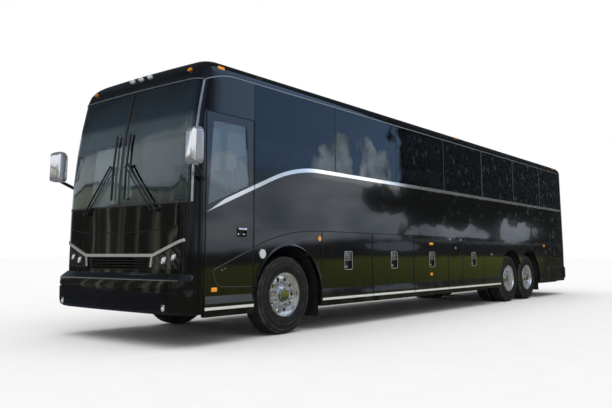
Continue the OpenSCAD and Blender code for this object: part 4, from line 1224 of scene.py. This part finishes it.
def channelled(shape, across, pitch, depth):
    """Sewn channels: lines across a pad's upper face pulled in."""
    points = []
    for p in shape[0]:
        pull = max(0.0, math.cos(2 * math.pi * p[across] / pitch)) ** 12 * depth
        points.append(Vector((p.x, p.y, p.z - pull if p.z > 0.01 else p.z)))
    return points, shape[1]


def seat_places():
    """Where the double seats of both sides and the driver's seat stand."""
    places = []
    for i in range(SEAT_ROWS):
        for s in SIDES:
            for k in (0.5, 1.5):
                places.append((first_row_x - SEAT_PITCH * i, s * (AISLE_Y + SEAT_W * k), deck_top))
    return places + [(driver_x, DRIVER_Y, DRIVER_FLOOR)]


def seat_frame(x, y, z):
    """Foot, pedestal, tray and arm rest of one seat."""
    levels = ((0, 0.2, 0.3, 0.02, 0.03), (0.03, 0.07, 0.22, 0.02, 0.27), (0.3, 0.4, 0.38, 0.03, 0.022))
    parts = [plate((x + 0.05, y, z + up), (1, 0, 0), (0, 1, 0), *sizes, 0.004) for up, *sizes in levels]
    arm = ((-0.17, 0.56), (-0.05, 0.585), (0.12, 0.585))
    return parts + [tube([(x + a, y + ARM_Y, z + b) for a, b in arm], 0.014)]


def seats():
    """Padded cushions and backs on their frames; the cushions stand in for the plain seats."""
    cushion = channelled(pad("cushion_form", (0.44, PAD_W, 0.12)), 1, 0.2, 0.01)
    back = channelled(pad("back_form", (0.72, PAD_W, 0.095)), 0, 0.18, 0.009)
    lean = Matrix.Rotation(BACK_LEAN, 4, "Y")
    cushions, backs, frames = [], [], []
    for x, y, z in seat_places():
        cushions.append(placed(cushion, Matrix.Translation((x + 0.08, y, z + 0.383))))
        backs.append(placed(back, Matrix.Translation((x - 0.222, y, z + 0.755)) @ lean))
        frames += seat_frame(x, y, z)
    soft = make("seat_cushions", cushions, MOQUETTE)
    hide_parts("seats")
    make("seat_backs", backs, MOQUETTE)
    make("seat_frames", frames, BLACK_TRIM, slot="frame_steel")


# Instrument hood as (distance behind the dashboard's front, share of its height), and dials as (y, radius)
HOOD = ((0.19, 0.55), (0.13, 0.96), (0.08, 1.0), (0.03, 0.85))
HOOD_Z = 1.55
HOOD_W = 0.6
HOOD_H = 0.26
DIALS = ((DRIVER_Y - 0.12, 0.055), (DRIVER_Y + 0.02, 0.055), (DRIVER_Y + 0.13, 0.035))
DIALS_Z = 1.635


def instruments():
    """Instrument hood, dials and switch panel."""
    dash_lo, dash_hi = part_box("dashboard")
    rings = []
    for behind, k in HOOD:
        ring = []
        for a in steps(0, math.pi, 14):
            z = HOOD_Z + HOOD_H * k * math.sin(a) ** 0.7
            ring.append((dash_hi.x - behind, DRIVER_Y - HOOD_W / 2 * math.cos(a), z))
        rings.append(ring)
    make("instrument_hood", [loft(rings)], DASH)
    dials = []
    for y, r in DIALS:
        profile = [(r, -0.01), (r, 0.006), (r - 0.006, 0.009), (r - 0.01, 0.003), (0, 0.003)]
        dials.append(turned((dash_hi.x - 0.185, y, DIALS_Z), (-1, 0, 0.2), profile, 28))
    make("dials", dials, GREY_TRIM, slot="dash_plastic")
    keys = []
    for i in range(8):
        spot = touch(skin("dashboard"), (dash_lo.x - 0.5, DRIVER_Y - 0.38 - 0.06 * i, 1.45), (1, 0, 0))
        if spot:
            keys.append(plate(spot[0], (0, -1, 0), (0.2, 0, 1), 0.04, 0.06, 0.006, 0.012))
    make("dash_keys", keys, BLACK_TRIM, slot="dash_plastic")


# Roller blinds: lower and upper edge, inner and outer edge, distance behind the glass, cells each way
BLIND_LOW = 2.49
BLIND_TOP = 3.12
BLIND_IN = 0.07
BLIND_OUT = 1.06
BLIND_BACK = 0.1
BLIND_CELLS = 8


def blinds():
    """Roller blinds behind the windscreen, with the bars at their head and foot."""
    n = BLIND_CELLS
    bars = []
    for s, side in SIDES.items():
        y0, y1 = BLIND_IN * s, BLIND_OUT * s
        rows = []
        for z in steps(BLIND_LOW, BLIND_TOP, n):
            x = front_x(z) - BLIND_BACK
            rows.append([Vector((x, y, z)) for y in steps(y0, y1, n)])
        points = [p for row in rows for p in row]
        firsts = [(n + 1) * j + i for j in range(n) for i in range(n)]
        faces = [(k, k + 1, k + n + 2, k + n + 1) for k in firsts]
        sheet = make(f"blind_{side}", [(points, faces)], BLIND)
        for row, r in ((rows[0], 0.024), (rows[-1], 0.03)):
            bars.append(tube([row[0], row[-1]], r))
    make("blind_bars", bars, BLACK_TRIM, slot="dash_plastic")


def dress():
    """Every piece that the scene adds to the frame."""
    belt_trim()
    skirt_trim()
    gutter_trim()
    screen_edges()
    screen_bands()
    arch_beads()
    door_seals()
    front_seam()
    roof_seams()
    luggage_handles()
    door_handles()
    small_lamps()
    front_lamps()
    side_lamp_rims()
    for s in SIDES:
        lid_edges(s)
        crease_shadow_strips(s)
        panel_locks(s)
        pane_seals(s)
        cant_vent(s)
    tail_details()
    mirror_glasses()
    for s in SIDES:
        for axle in axle_x:
            wheel_dress(axle, s)
    seats()
    instruments()
    blinds()


# Studio: floor, light, reflecting cards and camera

# The room of cards and its lid, the line where grass meets road, and the floor's reach
ROOM_X = (-40, 11)
ROOM_Y = (-25, 5)
ROOM_Z = (0.01, 13)
LID_CARD_X = (-60, 30)
LID_CARD_Y = (-40, 20)
GROUND_Z = 0.012
KERB_Y = 1.0
FLOOR_REACH = 250

# The camera that was fitted to the photo
CAMERA_AT = (11.254, 7.0473, 1.0586)
CAMERA_TURN = math.radians(127.614)
CAMERA_RISE = math.radians(-6.153)
CAMERA_LENS = 37.183
CAMERA_SHIFT = (-0.0523, -0.0282)


def level(x, y, z):
    """Corners of a level sheet."""
    return [(x[0], y[0], z), (x[1], y[0], z), (x[1], y[1], z), (x[0], y[1], z)]


def wall(a, b):
    """Corners of a wall of the room, between two of its edges."""
    low, high = ROOM_Z
    return [(*a, low), (*b, low), (*b, high), (*a, high)]


def sheet_object(name, corners, mat):
    mesh = bpy.data.meshes.new(name)
    mesh.from_pydata(corners, [], [(0, 1, 2, 3)])
    obj = bpy.data.objects.new(name, mesh)
    bpy.context.scene.collection.objects.link(obj)
    mesh.materials.append(mat)
    return obj


def floor():
    pale = Finish("floor_pale", {"Roughness": 0.9, "Specular IOR Level": 0.0})
    pale.colour(pale.noise(3), [(0.3, grey(0.93)), (0.7, grey(0.95))])
    reach = (-FLOOR_REACH, FLOOR_REACH)
    sheet_object("floor", level(reach, reach, 0), pale.mat)


def light():
    """A white world that lights less than it shows, and a wide soft sun."""
    world = bpy.data.worlds.new("studio")
    world.use_nodes = True
    bpy.context.scene.world = world
    sky = Nodes(world.node_tree)
    rays = node(sky.tree, "ShaderNodeLightPath").outputs
    seen = sky.math("MAXIMUM", *[rays[f"Is {kind} Ray"] for kind in ("Camera", "Glossy", "Transmission")])
    backdrop = sky.tree.nodes["Background"].inputs
    sky.tree.links.new(sky.spread(seen, 0, 1, 0.55, 1.0), backdrop["Strength"])
    backdrop["Color"].default_value = (1, 1, 1, 1)
    sun = bpy.data.lights.new("soft_light", "SUN")
    sun.energy = 1.55
    sun.angle = math.radians(75)
    lamp = bpy.data.objects.new("soft_light", sun)
    lamp.rotation_euler = (math.radians(-8), math.radians(10), 0)
    bpy.context.scene.collection.objects.link(lamp)


def card(name, corners, tones):
    """A reflecting card that only gloss sees, with its colour worked out by tones."""
    mat = bpy.data.materials.new(name)
    mat.use_nodes = True
    tree = mat.node_tree
    tree.nodes.clear()
    glow = node(tree, "ShaderNodeEmission", {"Color": tones(Tones(tree))})
    node(tree, "ShaderNodeOutputMaterial", {"Surface": glow.outputs[0]})
    obj = sheet_object(name, corners, mat)
    for kind in ("camera", "diffuse", "transmission", "volume_scatter", "shadow"):
        setattr(obj, f"visible_{kind}", False)


def side_land(made, grass_edge, above_hedge):
    """Grass, a dark hedge with one gap, and haze above it."""
    grass = [(0.0, (0.1, 0.12, 0.03)), (1.0, (0.19, 0.22, 0.05))]
    field = made.ramp(made.spread(grass_edge, 0.1, 0.8), grass)
    hedge = made.ramp(made.noise(1.6, 5), [(0.35, grey(0.018)), (0.7, (0.05, 0.052, 0.058))])
    hedge = made.mix(made.blob((-3.6, 1.29), (1.4, 0.11), 0.5), hedge, (0.3, 0.34, 0.42, 1))
    low = made.mix(made.spread(grass_edge, 0.8, 0.87), field, hedge)
    drift = made.noise(1.0, 6, made.moved((0.35, 1, 1)))
    haze = made.ramp(drift, [(0.38, (0.8, 0.85, 0.94)), (0.62, (0.28, 0.36, 0.44))])
    return made.mix(above_hedge, low, haze)


def side_sky(made, land):
    """Blue sky above the land, with two clouds, a pale patch and a pale line."""
    z = made.z
    blue = made.ramp(made.spread(z, 3, 6), [(0.0, (0.45, 0.66, 1.0)), (1.0, (0.38, 0.58, 0.93))])
    sky = made.mix(made.spread(z, 2.93, 3.12), land, blue)
    clouds = [made.blob((-0.95, 3.1), (1.1, 1.05), 0.4), made.blob((-2.7, 3.1), (1.15, 1.0), 0.4)]
    cloud = made.math("MULTIPLY", made.math("MAXIMUM", *clouds), made.spread(z, 2.95, 3.1))
    puff = made.ramp(made.noise(1.6, 6), [(0.3, (0.5, 0.6, 0.7)), (0.65, (2.1, 2.2, 2.2))])
    sky = made.mix(cloud, sky, puff)
    sky = made.mix(made.blob((2.6, 2.85), (0.75, 0.5), 0.35), sky, (0.92, 1.02, 1.12, 1))
    edges = [made.spread(z, 2.99, 3.02), made.spread(z, 3.08, 3.12, 1.0, 0.0)]
    line = made.math("MULTIPLY", *edges, made.spread(made.x, -0.5, 0.2, 1.0, 0.0))
    return made.mix(line, sky, (1.25, 1.25, 1.25, 1))


def side_tones(made):
    """Grass, a dark hedge, haze and blue sky with two clouds, all behind trees towards the rear."""
    x = made.x
    edge = made.math("ADD", made.z, made.sway(1.2, 4, 0.04))
    grass_edge = made.math("ADD", edge, made.spread(x, -2, 3, -0.17, 0.0))
    hedge_edge = made.math("ADD", edge, made.spread(x, -2, 3, -0.36, 0.0))
    above_hedge = made.spread(hedge_edge, 1.06, 1.18)
    sky = side_sky(made, side_land(made, grass_edge, above_hedge))
    leafy = made.spread(made.math("ADD", x, made.sway(1.2, 9, 0.75)), -4.1, -3.75, 1.0, 0.0)
    trees = made.math("MAXIMUM", leafy, made.blob((-3.5, 2.62), (1.5, 0.36), 0.6))
    gaps = [made.blob((-7.4, 1.85), (2.6, 0.26), 0.6), made.blob((-12.5, 1.95), (1.8, 0.5), 0.6)]
    closed = made.math("SUBTRACT", 1.0, made.math("MAXIMUM", *gaps))
    cover = made.math("MULTIPLY", trees, closed, above_hedge)
    cover = made.math("MAXIMUM", cover, made.spread(x, -15.5, -12.8, 0.9, 0.0))
    leaves = made.ramp(made.noise(4.5, 3), [(0.6, (0.02, 0.022, 0.02)), (0.68, (0.2, 0.22, 0.24))])
    behind = made.mix(cover, sky, leaves)
    streaks = made.spread(made.noise(1.8, 4, made.moved((2.2, 1, 0.05))), 0.42, 0.56, 0.55, 1.0)
    return made.mix(made.math("MULTIPLY", streaks, made.spread(x, 3.1, 3.4)), behind, (0.03, 0.032, 0.032, 1))


def front_tones(made):
    """Dark with upright pale streaks, then an olive wall with a dark top, a pale cloud and a slate sky."""
    z = made.z
    streak = made.spread(made.noise(1.2, 3, made.moved((1, 1.1, 0.05))), 0.53, 0.66)
    low = made.mix(streak, (0.02, 0.021, 0.02, 1), (0.62, 0.62, 0.46, 1))
    billow = made.math("ADD", z, made.sway(0.45, 5, 0.25))
    cloud = [(0.0, (0.2, 0.2, 0.15)), (0.2, (0.9, 0.93, 0.97)), (0.4, (0.95, 0.97, 0.97))]
    slate = [(0.49, (0.68, 0.73, 0.76)), (0.53, (0.2, 0.27, 0.34)), (1.0, (0.05, 0.065, 0.08))]
    high = made.ramp(made.spread(billow, 2, 8), cloud + slate)
    roofs = made.math("ADD", z, made.sway(0.35, 2, 0.12), made.spread(made.y, -9, -4.5, 0.0, 0.65))
    high = made.mix(made.spread(roofs, 3.55, 3.6, 1.0, 0.0), high, (0.05, 0.05, 0.045, 1))
    high = made.mix(made.spread(roofs, 3.42, 3.47, 1.0, 0.0), high, (0.42, 0.43, 0.29, 1))
    return made.mix(made.spread(z, 2.3, 2.9), low, high)


def plain_tones(made):
    """Dark ground, pale haze and a slate sky, for the sides that the photo doesn't show."""
    uneven = made.math("ADD", made.z, made.sway(0.5, 5, 0.8))
    ground = [(0.0, (0.09, 0.1, 0.05)), (0.1, (0.05, 0.055, 0.045)), (0.16, (0.45, 0.48, 0.54))]
    slate = [(0.4, (0.35, 0.45, 0.6)), (0.8, (0.12, 0.16, 0.22)), (1.0, (0.05, 0.06, 0.08))]
    return made.ramp(made.spread(uneven, 0, 13), ground + slate)


def mottled(scale, detail, dark, light_tone):
    """Tones of a card that noise varies between two colours."""
    def tones(made):
        return made.ramp(made.noise(scale, detail), [(0.3, dark), (0.7, light_tone)])
    return tones


def cards():
    """A room of cards whose reflections stand in for the surroundings."""
    rear, front = ROOM_X
    right, left = ROOM_Y
    card("side_card", wall((rear, left), (front, left)), side_tones)
    card("front_card", wall((front, right), (front, left)), front_tones)
    card("far_card", wall((rear, right), (front, right)), plain_tones)
    card("rear_card", wall((rear, right), (rear, left)), plain_tones)
    dim = mottled(0.3, 4, (0.02, 0.024, 0.03), (0.04, 0.048, 0.06))
    card("top_card", level(LID_CARD_X, LID_CARD_Y, ROOM_Z[1]), dim)
    grass = mottled(2.0, 6, (0.03, 0.034, 0.024), (0.06, 0.066, 0.045))
    card("grass_card", level(ROOM_X, (KERB_Y, left), GROUND_Z), grass)
    road = mottled(1.5, 6, (0.018, 0.02, 0.028), (0.04, 0.045, 0.06))
    card("road_card", level(ROOM_X, (right, KERB_Y), GROUND_Z), road)


def camera():
    """The photo's viewpoint: place, direction, lens and framing."""
    across = math.cos(CAMERA_RISE)
    back = Vector((math.sin(CAMERA_TURN) * across, -math.cos(CAMERA_TURN) * across, math.sin(CAMERA_RISE)))
    data = bpy.data.cameras.new("camera")
    data.lens = CAMERA_LENS
    data.sensor_width = 36
    data.shift_x, data.shift_y = CAMERA_SHIFT
    data.clip_end = 2 * FLOOR_REACH
    obj = bpy.data.objects.new("camera", data)
    obj.location = CAMERA_AT
    obj.rotation_mode = "QUATERNION"
    obj.rotation_quaternion = (-back).to_track_quat("-Z", "Y")
    bpy.context.scene.collection.objects.link(obj)
    bpy.context.scene.camera = obj


dress_nodes()
dress()
floor()
light()
cards()
camera()
bpy.context.scene.view_settings.view_transform = "Standard"
